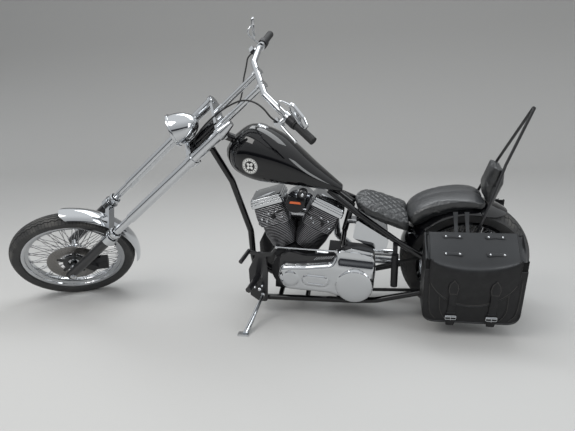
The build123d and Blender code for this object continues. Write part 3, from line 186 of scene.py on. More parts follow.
# %% Material maker
def material(name, colour, metallic=0.0, roughness=0.5, coat=0.0, recipe=None, relief=0.001,
             extra=()):
    made = bpy.data.materials.new(name)
    made.use_nodes = True
    tree = made.node_tree
    shader = tree.nodes["Principled BSDF"]
    shader.inputs["Base Color"].default_value = (*colour, 1)
    shader.inputs["Metallic"].default_value = metallic
    shader.inputs["Roughness"].default_value = roughness
    shader.inputs["Coat Weight"].default_value = coat
    shader.inputs["Coat Roughness"].default_value = 0.03
    for socket, value in extra:
        shader.inputs[socket].default_value = value
    if recipe:
        coordinates = tree.nodes.new("ShaderNodeTexCoord")
        place = Value(tree, coordinates.outputs["Object"])
        for socket, value in recipe(place).items():
            if socket == "Height":
                value = place.node("ShaderNodeBump",
                                   {"Height": value, "Distance": relief, "Strength": 1.0})
                socket = "Normal"
            tree.links.new(value.socket, shader.inputs[socket])
    made.diffuse_color = (*colour, 1)
    print("material", name)
    return made


def noise_at(place, scale, detail=3.0, roughness=0.5):
    return place.node("ShaderNodeTexNoise", {"Vector": place, "Scale": scale, "Detail": detail,
                                             "Roughness": roughness})


def split(place):
    """The three coordinates of a place, each as a number."""
    return [place.node("ShaderNodeSeparateXYZ", {0: place}, output=axis) for axis in range(3)]


# %% [markdown]
# ## Metals
# Show chrome is almost a mirror, with a faint haze where it has been wiped. Alloy covers
# are brushed, and the engine's castings are black and gritty. A flat grey would do for
# none of them: what tells them apart is how rough they are and how the roughness wanders,
# so each recipe drives the roughness with noise, and the last two add relief.


# %% Metals
def chrome_recipe(place):
    haze = noise_at(place, 60, 4)
    return {"Roughness": haze * 0.05 + 0.035}


def brushed_recipe(place):
    haze = noise_at(place, 240, 2)
    return {"Roughness": haze * 0.18 + 0.2, "Height": haze}


def cast_recipe(place):
    grit = noise_at(place, 900, 2)
    patch = noise_at(place, 30, 3)
    return {"Roughness": patch * 0.2 + 0.36, "Height": grit}


CHROME = material("chrome", (0.63, 0.645, 0.665), 1.0, 0.06, recipe=chrome_recipe)
ALLOY = material("brushed alloy", (0.55, 0.56, 0.58), 1.0, 0.3, recipe=brushed_recipe,
                 relief=0.00005)
DARK_METAL = material("black cast metal", (0.018, 0.018, 0.02), 0.35, 0.42, recipe=cast_recipe,
                      relief=0.00012)
SATIN_BLACK = material("satin black", (0.012, 0.012, 0.014), 0.0, 0.28, coat=0.5)
SPOKE = material("stainless spoke", (0.5, 0.5, 0.51), 1.0, 0.22)
FIN_EDGE = material("machined fin edge", (0.42, 0.42, 0.44), 0.9, 0.34)
print(len(bpy.data.materials), "materials with the metals")

# %% [markdown]
# ## Paint
# Tank, frame and fender wear deep black lacquer. Each side of the tank has a round badge:
# a white ring with dark ticks and a four-petal motif. It could be a decal picture, but a
# formula stays sharp at any size. Distance from the badge's middle gives the rings, and
# the angle around it gives ticks and petals.

# %% Gloss paint, with a plain round badge on each side of the tank
BADGE_X, BADGE_Z = -1.061, 0.877
BADGE_R, BADGE_RIM = 40.0, 37.5
RING_FROM, RING_TO = 25.5, 36.0
TICKS_FROM, TICKS_TO, TICKS = 28.5, 33.0, 16
PETAL_FROM, PETAL_LONG, PETAL_HOLE = 6, 14, 5.0


def paint_recipe(place):
    flow = noise_at(place, 9, 1)
    return {"Roughness": flow * 0.03 + 0.03}


def badge_recipe(place):
    x, y, z = split(place)
    across, up = (x - BADGE_X) * 1000, (z - BADGE_Z) * 1000
    reach = (across * across + up * up) ** 0.5
    around = place.maths("ARCTAN2", up, across)
    disc = reach < BADGE_R
    rim = (reach > BADGE_RIM) * (reach < BADGE_R)
    ring = (reach > RING_FROM) * (reach < RING_TO)
    ticks = ((around * TICKS).sine() > 0.35) * (reach > TICKS_FROM) * (reach < TICKS_TO)
    petals = abs((around * 2).sine()) * PETAL_LONG + PETAL_FROM
    star = (reach < petals) * (reach > PETAL_HOLE)
    white = place.maths("MAXIMUM", ring * (1 - ticks), place.maths("MAXIMUM", star, rim * 0.6))
    colour = (disc * white).mixed((0.004, 0.004, 0.005, 1), (0.78, 0.78, 0.76, 1))
    return {"Base Color": colour, **paint_recipe(place)}


UNDER_LACQUER = (("Specular IOR Level", 0.08),)
PAINT = material("gloss black", (0.003, 0.003, 0.004), 0.0, 0.05, coat=1.0,
                 recipe=paint_recipe, extra=UNDER_LACQUER)
TANK_PAINT = material("tank black", (0.003, 0.003, 0.004), 0.0, 0.05, coat=1.0,
                      recipe=badge_recipe, extra=UNDER_LACQUER)
# An orange band for the horn cover: a painted reflection, not a colour of the horn.
PAINTED_ORANGE_REFLECTION = material("painted orange reflection", (0.75, 0.13, 0.02), 0.0, 0.3, coat=0.6)
print("badge", 2 * BADGE_R, "mm across")

# %% [markdown]
# ## Rubber
# A tyre's crown has zigzag grooves and short cross cuts, and its sidewall has fine ribs.
# Cutting thousands of grooves into the mesh would cost more triangles than the rest of
# the bike. The shader cuts them instead: the angle round the wheel bends each groove, and
# the distance from the tread's middle places it.

# %% Rubber, with the tread cut in by the shader
FRONT_TYRE_R, FRONT_TYRE_HALF = 345, 45
REAR_TYRE_R, REAR_TYRE_HALF = 322, 100


def rubber_recipe(place):
    grit = noise_at(place, 700, 2)
    return {"Roughness": grit * 0.2 + 0.55, "Height": grit}


def tread_recipe(waves, half_m, outer_m):
    """Zigzag grooves round the crown, with a plain sidewall below the shoulder."""
    def recipe(place):
        x, y, z = split(place)
        reach = (x * x + z * z) ** 0.5
        around = place.maths("ARCTAN2", z, x)
        zigzag = place.maths("PINGPONG", around * (waves / (2 * pi)) + 100.0, 0.5) * 2
        crown = (reach - (outer_m - 0.03)).smooth(0.0, 0.006)
        grooves = 0.0
        for lane in (-0.52, -0.17, 0.17, 0.52):
            middle = zigzag * (half_m * 0.13) + half_m * (lane - 0.06)
            groove = 1 - abs(y - middle).smooth(0.0016, 0.0032)
            grooves = groove + grooves
        outer_lanes = abs(y).smooth(half_m * 0.25, half_m * 0.35)
        cross_cuts = (around * waves * 2).sine().smooth(0.93, 0.99) * outer_lanes
        cut = place.maths("MINIMUM", grooves + cross_cuts, 1.0) * crown
        ribs = (reach * 900).sine().smooth(0.4, 1.0) * (1 - crown) * 0.12
        # The grooves are painted near black: painted shade in the cuts, the same rubber as the tread around them.
        shade = cut.mixed((0.036, 0.036, 0.037, 1), (0.003, 0.003, 0.003, 1))
        dust = noise_at(place, 14, 4).smooth(0.4, 0.7) * (1 - cut) * (crown * 0.45 + 0.15)
        shade = dust.mixed(shade, (0.13, 0.125, 0.115, 1))
        return {"Base Color": shade, "Roughness": cut * 0.2 + 0.62, "Height": ribs - cut}
    return recipe


RUBBER = material("rubber", (0.015, 0.015, 0.016), 0.0, 0.6, recipe=rubber_recipe,
                  relief=0.0001)
FRONT_TREAD = material("front tyre rubber", (0.02, 0.02, 0.02), 0.0, 0.65, relief=0.003,
                       recipe=tread_recipe(58, FRONT_TYRE_HALF * MM, FRONT_TYRE_R * MM))
REAR_TREAD = material("rear tyre rubber", (0.02, 0.02, 0.02), 0.0, 0.65, relief=0.004,
                      recipe=tread_recipe(44, REAR_TYRE_HALF * MM, REAR_TYRE_R * MM))
print("treads for radii of", FRONT_TYRE_R, "and", REAR_TYRE_R, "mm")

# %% [markdown]
# ## Leather
# Black harness leather has a pebbled grain and is rubbed lighter on its high spots. Where it faces the sky its
# colour is painted a lighter grey, a painted sheen. The grain is a cell pattern, the rubbing follows a slower
# noise, and the painted sheen reads the surface's own upward direction, so it stays with a lid when the lid opens.


# %% Leather and thread
def leather(name, colour, worn, shine, gloss, painted_sheen=(0.035, 0.037, 0.04)):
    def recipe(place):
        normal = place.node("ShaderNodeTexCoord", {}, output="Normal")
        facing_up = split(normal)[2].smooth(0.2, 0.85)
        grain = place.node("ShaderNodeTexVoronoi", {"Vector": place, "Scale": 620.0}, feature="F1")
        fold = noise_at(place, 24, 5, 0.6)
        wear = fold.smooth(0.4, 0.72)
        hide = wear.mixed((*colour, 1), (*worn, 1))
        # Where the surface faces up, the base colour is mixed to a lighter grey: a painted sheen, not a colour of
        # the leather.
        return {"Base Color": facing_up.mixed(hide, (*painted_sheen, 1)),
                "Roughness": fold * 0.24 + shine - 0.12,
                "Height": grain * 0.5 + fold * 2.2}
    return material(name, colour, 0.0, shine, recipe=recipe, relief=0.0004,
                    extra=(("Specular IOR Level", gloss),))


BAG_LEATHER = leather("saddlebag leather", (0.005, 0.005, 0.006), (0.011, 0.011, 0.012), 0.38, 0.4)
SEAT_LEATHER = leather("seat leather", (0.007, 0.008, 0.009), (0.016, 0.017, 0.019), 0.33, 0.9)
THREAD = material("dark thread", (0.09, 0.085, 0.08), 0.0, 0.8)
print("leather for the bags and for the seats")

# %% [markdown]
# ## Glass
# The headlight has a clear lens, the tail lamp a red one, and the mirrors silvered glass.
# The clear lens lets light through, which shows the bright bowl behind it. The red lens is
# small and backed by its housing, so a coated colour is enough, and a mirror is simply a
# very smooth metal.

# %% Glass
LENS = material("lamp glass", (0.9, 0.92, 0.94), 0.0, 0.03,
                extra=(("Transmission Weight", 0.85), ("IOR", 1.45)))
RED_LENS = material("red lens", (0.5, 0.01, 0.01), 0.0, 0.12, coat=1.0)
MIRROR_GLASS = material("mirror glass", (0.9, 0.9, 0.92), 1.0, 0.02)
print(len(bpy.data.materials), "materials in all")

# %% [markdown]
# ## Finish of the CAD parts
# Tubes, brackets and covers are already right as solids, so they keep their mesh. The
# record gives each a material slot. The slot picks the finish, and the few parts that are
# darker than their slot suggests are named one by one.

# %% Paint the CAD parts
BY_SLOT = {
    "chrome": CHROME,
    "black_paint": PAINT,
    "black_metal": DARK_METAL,
    "alloy": ALLOY,
    "steel": CHROME,
    "tyre": RUBBER,
    "rubber": RUBBER,
    "leather": BAG_LEATHER,
    "glass": LENS,
    "red_glass": RED_LENS,
}
BY_NODE = {"crankcase": DARK_METAL}
for satin_part in ("inner_primary", "fork_sliders", "number_plate", "sissy_bar", "foot_controls"):
    BY_NODE[satin_part] = SATIN_BLACK

for row in frame["record"]["subparts"]:
    node = frame["nodes"][row["node"]]
    node.data.materials.clear()
    node.data.materials.append(BY_NODE.get(row["node"], BY_SLOT[row["material_slot"]]))
print(len(frame["nodes"]), "CAD parts painted")

# %% [markdown]
# ## Building blocks
# Nearly everything on a motorcycle is turned, bent, pressed or cast, and each of these has
# a plain recipe in corners and faces. Modifiers could do the same, but a shape made from
# two lists is easy to measure, merge and move. Here a shape is always a list of corners
# and a list of faces.


# %% Shapes from rings
def skin(rings, closed=True, caps=True):
    """Joins rings of corners, each to the next."""
    count = len(rings[0])
    corners = [corner for ring in rings for corner in ring]
    faces = []
    for level in range(len(rings) - 1):
        for step in range(count if closed else count - 1):
            a, b = level * count + step, level * count + (step + 1) % count
            faces.append((a, b, b + count, a + count))
    if caps:
        faces.append(tuple(reversed(range(count))))
        faces.append(tuple(range(len(corners) - count, len(corners))))
    return corners, faces


def turned(profile, steps=64, open_ends=False):
    """A skin about the y axis through (radius, y) corners."""
    rings = [[(r * cos(2 * pi * k / steps), y, r * sin(2 * pi * k / steps)) for k in range(steps)]
             for r, y in profile]
    return skin(rings, True, not open_ends)


print("a turned cup has", len(turned([(20, 0), (20, 10), (5, 12)])[1]), "faces")

# %% [markdown]
# A brake disc with its carrier, or a row of bolts, is one piece made of many shapes.
# Joining objects afterwards would need a selection for each. Here the lists are simply
# put together, and a shape is moved by a matrix before it is merged.


# %% Merge and move shapes
def merged(*shapes):
    corners, faces = [], []
    for shape in shapes:
        start = len(corners)
        corners += shape[0]
        faces += [tuple(start + corner for corner in face) for face in shape[1]]
    return corners, faces


def shifted(shape, matrix):
    """A shape moved by a matrix in millimetres."""
    return [tuple(matrix @ Vector(corner)) for corner in shape[0]], shape[1]


def at(x, y, z, *turns):
    """A matrix in millimetres: a place and then turns, each an angle in degrees and an axis."""
    matrix = Matrix.Translation((x, y, z))
    for angle, axis in turns:
        matrix = matrix @ Matrix.Rotation(radians(angle), 4, axis)
    return matrix


print("a quarter turn about x takes y to", tuple(at(0, 0, 0, (90, "X")) @ Vector((0, 1, 0))))

# %% [markdown]
# Pressed and cast parts have rounded outlines and a soft rim. A bevel modifier rounds
# every edge alike. These helpers round each corner of the outline by its own radius and
# the two rims by theirs, as a real die does.


# %% Rounded outlines
def rounded(rows, steps=5):
    """A closed outline from (x, z, corner radius) rows."""
    points = []
    for index, (x, z, radius) in enumerate(rows):
        at_corner = Vector((x, z))
        before = Vector(rows[index - 1][:2]) - at_corner
        after = Vector(rows[(index + 1) % len(rows)][:2]) - at_corner
        half = before.angle(after) / 2
        reach = min(radius / max(0.05, sin(half) / cos(half)), before.length * 0.48,
                    after.length * 0.48)
        if reach < 0.01:
            points.append((x, z))
            continue
        start = at_corner + before.normalized() * reach
        end = at_corner + after.normalized() * reach
        for step in range(steps + 1):
            t = step / steps
            point = start * (1 - t) ** 2 + at_corner * 2 * t * (1 - t) + end * t ** 2
            points.append((point.x, point.y))
    return points


def oblong(x_from, z_from, x_to, z_to, radius, steps=5):
    """A rounded oblong between two opposite corners."""
    return rounded([(x_from, z_from, radius), (x_to, z_from, radius), (x_to, z_to, radius),
                    (x_from, z_to, radius)], steps)


def inset(points, distance):
    """The outline drawn in by a distance."""
    count = len(points)
    area = sum(points[k - 1][0] * points[k][1] - points[k][0] * points[k - 1][1]
               for k in range(count))
    sign = 1 if area > 0 else -1
    drawn_in = []
    for k in range(count):
        before, here = Vector(points[k - 1]), Vector(points[k])
        after = Vector(points[(k + 1) % count])
        way = (here - before).normalized() + (after - here).normalized()
        normal = Vector((-way.y, way.x)).normalized() * sign
        drawn_in.append(tuple(here + normal * distance))
    return drawn_in


print("a rounded square has", len(oblong(0, 0, 20, 20, 4)), "points")

# %% [markdown]
# From an outline we get the two commonest forms: a plate, whose outer rim is rounded
# while its back stays square, and the domed head of a bolt. An extrusion with a bevel
# modifier would round front and back alike, and that costs twice the faces.


# %% Plates and domes
def plate(outline, y_from, y_to, edge=2.0, steps=3, under=0.5):
    """A plate whose far rim is rounded by edge and whose near rim only by under."""
    way = 1 if y_to > y_from else -1
    rings = [[(x, y_from, z) for x, z in inset(outline, under)],
             [(x, y_from + way * under, z) for x, z in outline]]
    for step in range(steps + 1):
        angle = pi / 2 * step / steps
        ring = inset(outline, edge * (1 - cos(angle)))
        rings.append([(x, y_to - way * edge * (1 - sin(angle)), z) for x, z in ring])
    return skin(rings)


def slab(outline, low, high, edge=2.0, steps=3, under=0.5):
    """A plate that lies flat, from one height to another."""
    return shifted(plate(outline, -low, -high, edge, steps, under), at(0, 0, 0, (-90, "X")))


def dome(radius, tall, edge=1.0, rings=5, steps=24):
    """A cap on y = 0 that rises towards -y."""
    profile = [(radius, 0.0), (radius, -edge)]
    profile += [(radius * cos(pi / 2 * k / rings), -edge - (tall - edge) * sin(pi / 2 * k / rings))
                for k in range(1, rings)]
    return turned(profile + [(radius * 0.04, -tall)], steps)


print("a square plate has", len(plate(oblong(0, 0, 20, 20, 4), 0, 3)[1]), "faces")
print("a bolt's head has", len(dome(6, 5)[1]), "faces")

# %% [markdown]
# Cables, piping, spokes and seams are all tubes along a line. A curve object with a bevel
# would do too, but it has to be converted before it can be merged with its neighbours. So
# the line is smoothed in Python and the tube is skinned round it.


# %% Tubes and smooth lines
def smooth_line(points, each=8):
    """A Catmull-Rom line through the points."""
    points = [Vector(point) for point in points]
    line = []
    for k in range(len(points) - 1):
        a, b = points[max(k - 1, 0)], points[k]
        c, d = points[k + 1], points[min(k + 2, len(points) - 1)]
        for step in range(each):
            t = step / each
            line.append(0.5 * (2 * b + (c - a) * t + (2 * a - 5 * b + 4 * c - d) * t * t
                               + (3 * b - a - 3 * c + d) * t ** 3))
    return line + [points[-1]]


def tube(points, radius, sides=10, closed=False):
    """A tube of one radius along points."""
    points = [Vector(point) for point in points]
    count = len(points)
    across = Vector((0.3, 0.2, 1)).normalized()
    rings = []
    for k, point in enumerate(points):
        if closed:
            way = (points[(k + 1) % count] - points[k - 1]).normalized()
        else:
            way = (points[min(k + 1, count - 1)] - points[max(k - 1, 0)]).normalized()
        across = (across - way * across.dot(way)).normalized()
        up = way.cross(across)
        ring = []
        for side in range(sides):
            angle = 2 * pi * side / sides
            ring.append(tuple(point + (across * cos(angle) + up * sin(angle)) * radius))
        rings.append(ring)
    if closed:
        return skin(rings + [rings[0]], True, False)
    return skin(rings)


bent_line = smooth_line([(0, 0, 0), (10, 0, 4), (20, 0, 0)])
print("a bent tube has", len(tube(bent_line, 2)[1]), "faces")

# %% [markdown]
# Each shape becomes an object here. Its mesh is in metres in its own drawing frame, and
# its matrix puts it in place. It is smooth except at sharp edges, it rides on one body of
# the CAD model, and it may replace CAD parts that it covers.

# %% Make a piece of the motorcycle
SHARP = radians(38)


def piece(name, shape, place, body, finish, replaces=(), level=0, flat=False):
    """A mesh that rides on a CAD body; flat leaves its sharp edges to the shading."""
    corners, faces = shape
    mesh = bpy.data.meshes.new(name)
    mesh.from_pydata([tuple(value * MM for value in corner) for corner in corners], [], faces)
    mesh.validate()
    mesh.materials.append(finish)
    thing = bpy.data.objects.new(name, mesh)
    bpy.context.collection.objects.link(thing)
    thing.matrix_world = place
    bpy.context.view_layer.update()
    mesh.shade_smooth()
    if not flat:
        mesh.set_sharp_from_angle(angle=SHARP)
    if level:
        subdivision = thing.modifiers.new("smooth", "SUBSURF")
        subdivision.levels = subdivision.render_levels = level
    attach(thing, body)
    if replaces:
        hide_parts(*replaces)
    print(name, "rides on", body, "with", len(faces), "faces")
    return thing


# %% [markdown]
# ## Tyres
# The front tyre is tall and narrow and the rear one is low and wide. A torus would give
# both a round section. A real tyre has an upright sidewall, a flatter crown and a shoulder
# between them, so its profile is put together from these and turned about the axle.

# %% Tyres
WHEEL_STEPS = 144
FRONT_BEAD, FRONT_RIM_HALF, FRONT_CROWN = 269, 31, 56
REAR_BEAD, REAR_RIM_HALF, REAR_CROWN = 230, 74, 150


def tyre_shape(outer, half, crown, bead, rim_half):
    """A tyre from its radius, half width, crown radius and the rim that it sits on."""
    shoulder = asin(half * 0.9 / crown)
    middle = (outer + bead) / 2
    wall = [(bead, rim_half - 6), (bead + 12, rim_half - 5),
            (bead + 20, rim_half + (half - rim_half) * 0.62), (middle, half - 0.5),
            (middle + 12, half)]
    top = []
    for step in range(15):
        angle = shoulder * (1 - step / 7)
        top.append((outer - crown + crown * cos(angle), crown * sin(angle)))
    wall.append(((top[0][0] + wall[-1][0]) / 2 + 3, (half + top[0][1]) / 2 + 0.6))
    profile = wall + top + [(r, -y) for r, y in reversed(wall)]
    return turned(profile, WHEEL_STEPS, True)


front_tyre = tyre_shape(FRONT_TYRE_R, FRONT_TYRE_HALF, FRONT_CROWN, FRONT_BEAD, FRONT_RIM_HALF)
rear_tyre = tyre_shape(REAR_TYRE_R, REAR_TYRE_HALF, REAR_CROWN, REAR_BEAD, REAR_RIM_HALF)
piece("front_tyre_rubber", front_tyre, FRONT_WHEEL, "front_wheel", FRONT_TREAD,
      ["front_tyre"])
piece("rear_tyre_rubber", rear_tyre, REAR_WHEEL, "rear_wheel", REAR_TREAD,
      ["rear_tyre"])

# %% [markdown]
# ## Laced wheels
# A laced wheel hangs its hub in steel spokes. They leave the hub's flanges almost
# tangentially, cross in pairs and end in nipples at the rim. One spoke could be copied by
# an array around an empty. A loop that works out both ends of each spoke is as short, and
# it gets the crossing right: every other spoke sets off the opposite way.


# %% Rims, hubs and spokes
def rim_shape(bead, half):
    """Two lips with the well between them."""
    well = bead - 20
    profile = [(bead + 13, half - 4), (bead + 14, half - 2), (bead + 13, half),
               (bead + 10, half), (bead - 1, half - 1), (bead - 5, half - 3),
               (bead - 6, half * 0.7), (well - 2, half * 0.5), (well - 5, half * 0.3),
               (well - 6, 0)]
    profile += [(r, -y) for r, y in reversed(profile[:-1])]
    profile += [(bead - 0.5, 5 - half), (bead - 0.5, half - 5)]
    return turned(profile + [profile[0]], WHEEL_STEPS, True)


def hub_shape(half, flange_y):
    """A barrel with two flanges."""
    profile = [(13, -half), (34, -half), (38, 3 - half), (38, -flange_y - 12),
               (42, -flange_y - 5), (54, -flange_y - 4), (55, -flange_y), (54, 4 - flange_y),
               (40, 6 - flange_y), (33, 20 - flange_y)]
    return turned(profile + [(r, -y) for r, y in reversed(profile)], 48, True)


SPOKES_A_SIDE = 40
SPOKE_R, NIPPLE_R = 1.9, 3.1
SPOKE_SLANT = 21
FLANGE_HOLES_R = 49


def laced(bead, flange_y):
    """Crossed spokes, each with its nipple."""
    shapes = []
    for side in (-1, 1):
        for index in range(SPOKES_A_SIDE):
            start = 2 * pi * (index + (side > 0) * 0.5) / SPOKES_A_SIDE
            end = start + radians(SPOKE_SLANT if index % 2 else -SPOKE_SLANT)
            foot_y = side * (flange_y + (3 if index % 2 else -3))
            foot = Vector((FLANGE_HOLES_R * cos(start), foot_y, FLANGE_HOLES_R * sin(start)))
            tip_r = bead - 24
            tip = Vector((tip_r * cos(end), side * 5, tip_r * sin(end)))
            way = (tip - foot).normalized()
            shapes.append(tube([foot, tip], SPOKE_R, 6))
            shapes.append(tube([tip - way * 16, tip + way * 3], NIPPLE_R, 6))
    return merged(*shapes)


WHEELS = (
    # name, frame, bead, rim half, hub half, flange
    ("front_wheel", FRONT_WHEEL, FRONT_BEAD, FRONT_RIM_HALF, 55, 34),
    ("rear_wheel", REAR_WHEEL, REAR_BEAD, REAR_RIM_HALF, 100, 46),
)
for name, place, bead, rim_half, hub_half, flange_y in WHEELS:
    rim_and_hub = merged(rim_shape(bead, rim_half), hub_shape(hub_half, flange_y))
    piece(name + "_rim", rim_and_hub, place, name, CHROME, [name])
    piece(name + "_spokes", laced(bead, flange_y), place, name, SPOKE)

# %% [markdown]
# ## Brake discs
# Each disc is a flat steel ring with slanted rows of holes, on a dark carrier with five
# arms. A boolean would cut the holes, and it would cost thousands of triangles. At this
# size they read just as well when the shader makes them clear. The angle is counted in
# holes, and the distance from the nearest whole number says where a hole is.

# %% Drilled brake discs
DISC_INNER, DISC_OUTER = 84, 146
HOLES, HOLE_ROWS, HOLE_R = 44, 4, 0.0036
HOLES_FROM, HOLES_TO = 0.094, 0.14


def drilled_recipe(place):
    """Ground steel with holes cut through by alpha."""
    x, y, z = split(place)
    reach = (x * x + z * z) ** 0.5
    turn_share = place.maths("ARCTAN2", z, x) * (HOLES / (2 * pi)) + 200.0
    alpha = 1.0
    for row in range(HOLE_ROWS):
        row_reach = HOLES_FROM + (HOLES_TO - HOLES_FROM) * (row + 0.5) / HOLE_ROWS
        spot = turn_share + row * 0.27
        off = (spot - spot.maths("ROUND", spot)) * (2 * pi * row_reach / HOLES)
        away = (off * off + (reach - row_reach) ** 2.0) ** 0.5
        alpha = (away > HOLE_R) * alpha
    rings = (reach * 3000).sine() * 0.5 + noise_at(place, 300, 2)
    return {"Alpha": alpha, "Roughness": rings * 0.08 + 0.26, "Height": rings}


def ring_shape(inner, outer, y_from, y_to, steps):
    """A flat ring about the y axis."""
    return turned([(inner, y_from), (outer, y_from), (outer, y_to), (inner, y_to),
                   (inner, y_from)], steps, True)


def carrier_shape(y_middle, arms=5):
    """A hub ring with arms that reach the disc."""
    shapes = [ring_shape(35, 60, y_middle - 4, y_middle + 4, 48)]
    arm_outline = rounded([(56, -13, 3), (96, -8, 4), (96, 8, 4), (56, 13, 3)])
    for arm in range(arms):
        around = at(0, 0, 0, (360 * arm / arms, "Y"))
        shapes.append(shifted(plate(arm_outline, y_middle + 3.5, y_middle - 3.5, 1.5, 2), around))
        shapes.append(shifted(dome(6, 4, 2, 4, 16), around @ at(90, y_middle - 3.5, 0)))
    return merged(*shapes)


DRILLED = material("drilled disc steel", (0.3, 0.29, 0.28), 1.0, 0.3, recipe=drilled_recipe,
                   relief=0.00004)
DISCS = (("front", FRONT_WHEEL, -60, -55), ("rear", REAR_WHEEL, 100, 105))
for name, place, y_from, y_to in DISCS:
    disc = ring_shape(DISC_INNER, DISC_OUTER, y_from, y_to, 96)
    piece(name + "_disc_ring", disc, place, name + "_wheel", DRILLED, [name + "_brake_disc"])
    piece(name + "_disc_carrier", carrier_shape((y_from + y_to) / 2), place, name + "_wheel",
          SATIN_BLACK)

# %% [markdown]
# ## Tank
# The tank is a teardrop pressed from sheet steel: full and round by the fork, thin where
# it meets the seat. Sculpting it would be free but hard to repeat. It is lofted instead.
# Six sections are drawn, every measure follows a smooth line between them, and the ends
# are closed by shrinking rings. A subdivision then removes the last facets.

# %% Tank skin
TANK_ROWS = (
    # x, bottom, widest height, top, half width, half width of the bottom
    (-1197, 862, 905, 940, 34, 20),
    (-1150, 818, 892, 998, 100, 52),
    (-1050, 782, 872, 1046, 146, 90),
    (-900, 762, 838, 984, 141, 90),
    (-740, 728, 768, 832, 88, 60),
    (-624, 698, 710, 726, 34, 24),
)


def smooth_rows(rows, each):
    """The rows with smooth steps between them, column by column."""
    lines = []
    for column in zip(*rows):
        line = smooth_line([(k, 0, value) for k, value in enumerate(column)], each)
        lines.append([point.z for point in line])
    return list(zip(*lines))


def tank_ring(x, bottom, side_z, top, half, bottom_half, shrink=1.0):
    """One section: an arch over the widest height and a soft keel under it."""
    ring = []
    for step in range(33):
        angle = pi * step / 32
        bulge = abs(sin(angle)) ** 0.94
        ring.append((half * cos(angle) * (0.96 + 0.04 * sin(angle)),
                     side_z + (top - side_z) * bulge))
    low = [(half * 0.985, side_z * 0.7 + bottom * 0.3),
           (half * 0.93, side_z * 0.42 + bottom * 0.58),
           (half * 0.82, side_z * 0.18 + bottom * 0.82), (bottom_half, bottom + 1),
           (bottom_half * 0.6, bottom)]
    ring += [(-y, z) for y, z in low] + [(0.0, bottom)] + [(y, z) for y, z in reversed(low)]
    middle = (top + bottom) / 2
    return [(x, y * shrink, middle + (z - middle) * shrink) for y, z in ring]


tank_rows = smooth_rows(TANK_ROWS, 10)
nose, tail = tank_rows[0], tank_rows[-1]
tank_rings = [tank_ring(nose[0] - 7, *nose[1:], shrink=0.45),
              tank_ring(nose[0] - 5, *nose[1:], shrink=0.78)]
tank_rings += [tank_ring(*row) for row in tank_rows]
tank_rings.append(tank_ring(tail[0] + 4, *tail[1:], shrink=0.7))
piece("tank_skin", skin(tank_rings), BIKE, "frame", TANK_PAINT, ["fuel_tank"],
      level=1, flat=True)

# %% [markdown]
# ## Filler cap
# The cap is a low chrome turning with a stepped top. It stands square on the slope of the
# tank. A cylinder with bevels would be close, but its steps carry the highlights, so the
# profile is drawn and turned, and the frame is tilted by the slope.

# %% Filler cap
CAP_SLOPE = radians(20)
cap_place = (BIKE @ moved(-1012, 0, 1026) @ Matrix.Rotation(CAP_SLOPE, 4, "Y")
             @ Matrix.Rotation(radians(-90), 4, "X"))
cap_profile = [(35, 3), (36, -2), (34, -6), (30, -8), (29, -13), (26, -16), (14, -18.5), (1, -19)]
piece("filler_cap", turned(cap_profile, 48), cap_place, "frame", CHROME, ["fuel_cap"])

# %% [markdown]
# ## Seats
# Leather over foam bulges between its seams. A subdivided block looks like soap. So each
# cushion starts as a lofted skin a little smaller than its cover, is remeshed into even
# small faces, and is blown up for a moment as cloth. No corner may travel further than a
# few millimetres, which keeps the cushion on its base.

# %% Inflate a cushion
CLOTH_STEPS = 20
CLOTH_PRESSURE = 4.0


def inflated(thing, voxel=0.005, most=0.005):
    """Remesh, blow up as cloth, and keep every corner within most of where it was."""
    remesh = thing.modifiers.new("remesh", "REMESH")
    remesh.mode = "VOXEL"
    remesh.voxel_size = voxel
    bpy.context.view_layer.objects.active = thing
    bpy.ops.object.modifier_apply(modifier="remesh")
    mesh = thing.data
    rest = [corner.co.copy() for corner in mesh.vertices]
    cloth = thing.modifiers.new("cloth", "CLOTH")
    cloth.settings.use_pressure = True
    cloth.settings.uniform_pressure_force = CLOTH_PRESSURE
    cloth.settings.effector_weights.gravity = 0
    cloth.settings.quality = 4
    for step in range(1, CLOTH_STEPS + 1):
        bpy.context.scene.frame_set(step)
    puffed = thing.evaluated_get(bpy.context.evaluated_depsgraph_get()).data
    ends = [corner.co.copy() for corner in puffed.vertices]
    thing.modifiers.remove(cloth)
    bpy.context.scene.frame_set(1)
    for corner, start, end in zip(mesh.vertices, rest, ends):
        way = end - start
        corner.co = start + way * min(1.0, most / max(way.length, 1e-9))
    for face in mesh.polygons:
        face.use_smooth = True
    print(thing.name, "has", len(mesh.vertices), "corners")


# %% [markdown]
# Upholstery is pulled in where it is stitched. The seams are pressed into the finished
# cushion along its own normals. A displacement texture could do it, but a function of the
# place in millimetres is easier to aim.


# %% Press and soften a cushion
def pressed(thing, depth_at):
    """Moves every corner in along its normal by depth_at(corner in millimetres)."""
    mesh = thing.data
    normals = [corner.normal.copy() for corner in mesh.vertices]
    deepest = 0.0
    for corner, normal in zip(mesh.vertices, normals):
        depth = depth_at(corner.co / MM, normal)
        corner.co -= normal * depth * MM
        deepest = max(deepest, depth)
    mesh.update()
    print(thing.name, "is pressed in by up to", round(deepest, 1), "mm")


def softened(thing):
    subdivision = thing.modifiers.new("soft", "SUBSURF")
    subdivision.levels = subdivision.render_levels = 1


# %% [markdown]
# ## Main seat
# The main seat is a wide, low saddle that dips between the tank and the pillion pad. One
# outline pushed along a path would keep its shape all the way, and the saddle narrows and
# flattens instead. So its sections run across the motorcycle, each with a crowned top, a
# short skirt and a flat base of its own size.

# %% Rider seat: sections
SEAT_ROWS = (
    # x, half width, height at the middle, height at the rim, underside
    (-557, 40, 661, 650, 632),
    (-546, 72, 672, 657, 622),
    (-510, 112, 677, 656, 604),
    (-450, 129, 662, 636, 580),
    (-380, 132, 637, 609, 552),
    (-320, 131, 613, 588, 528),
    (-297, 126, 602, 580, 520),
)


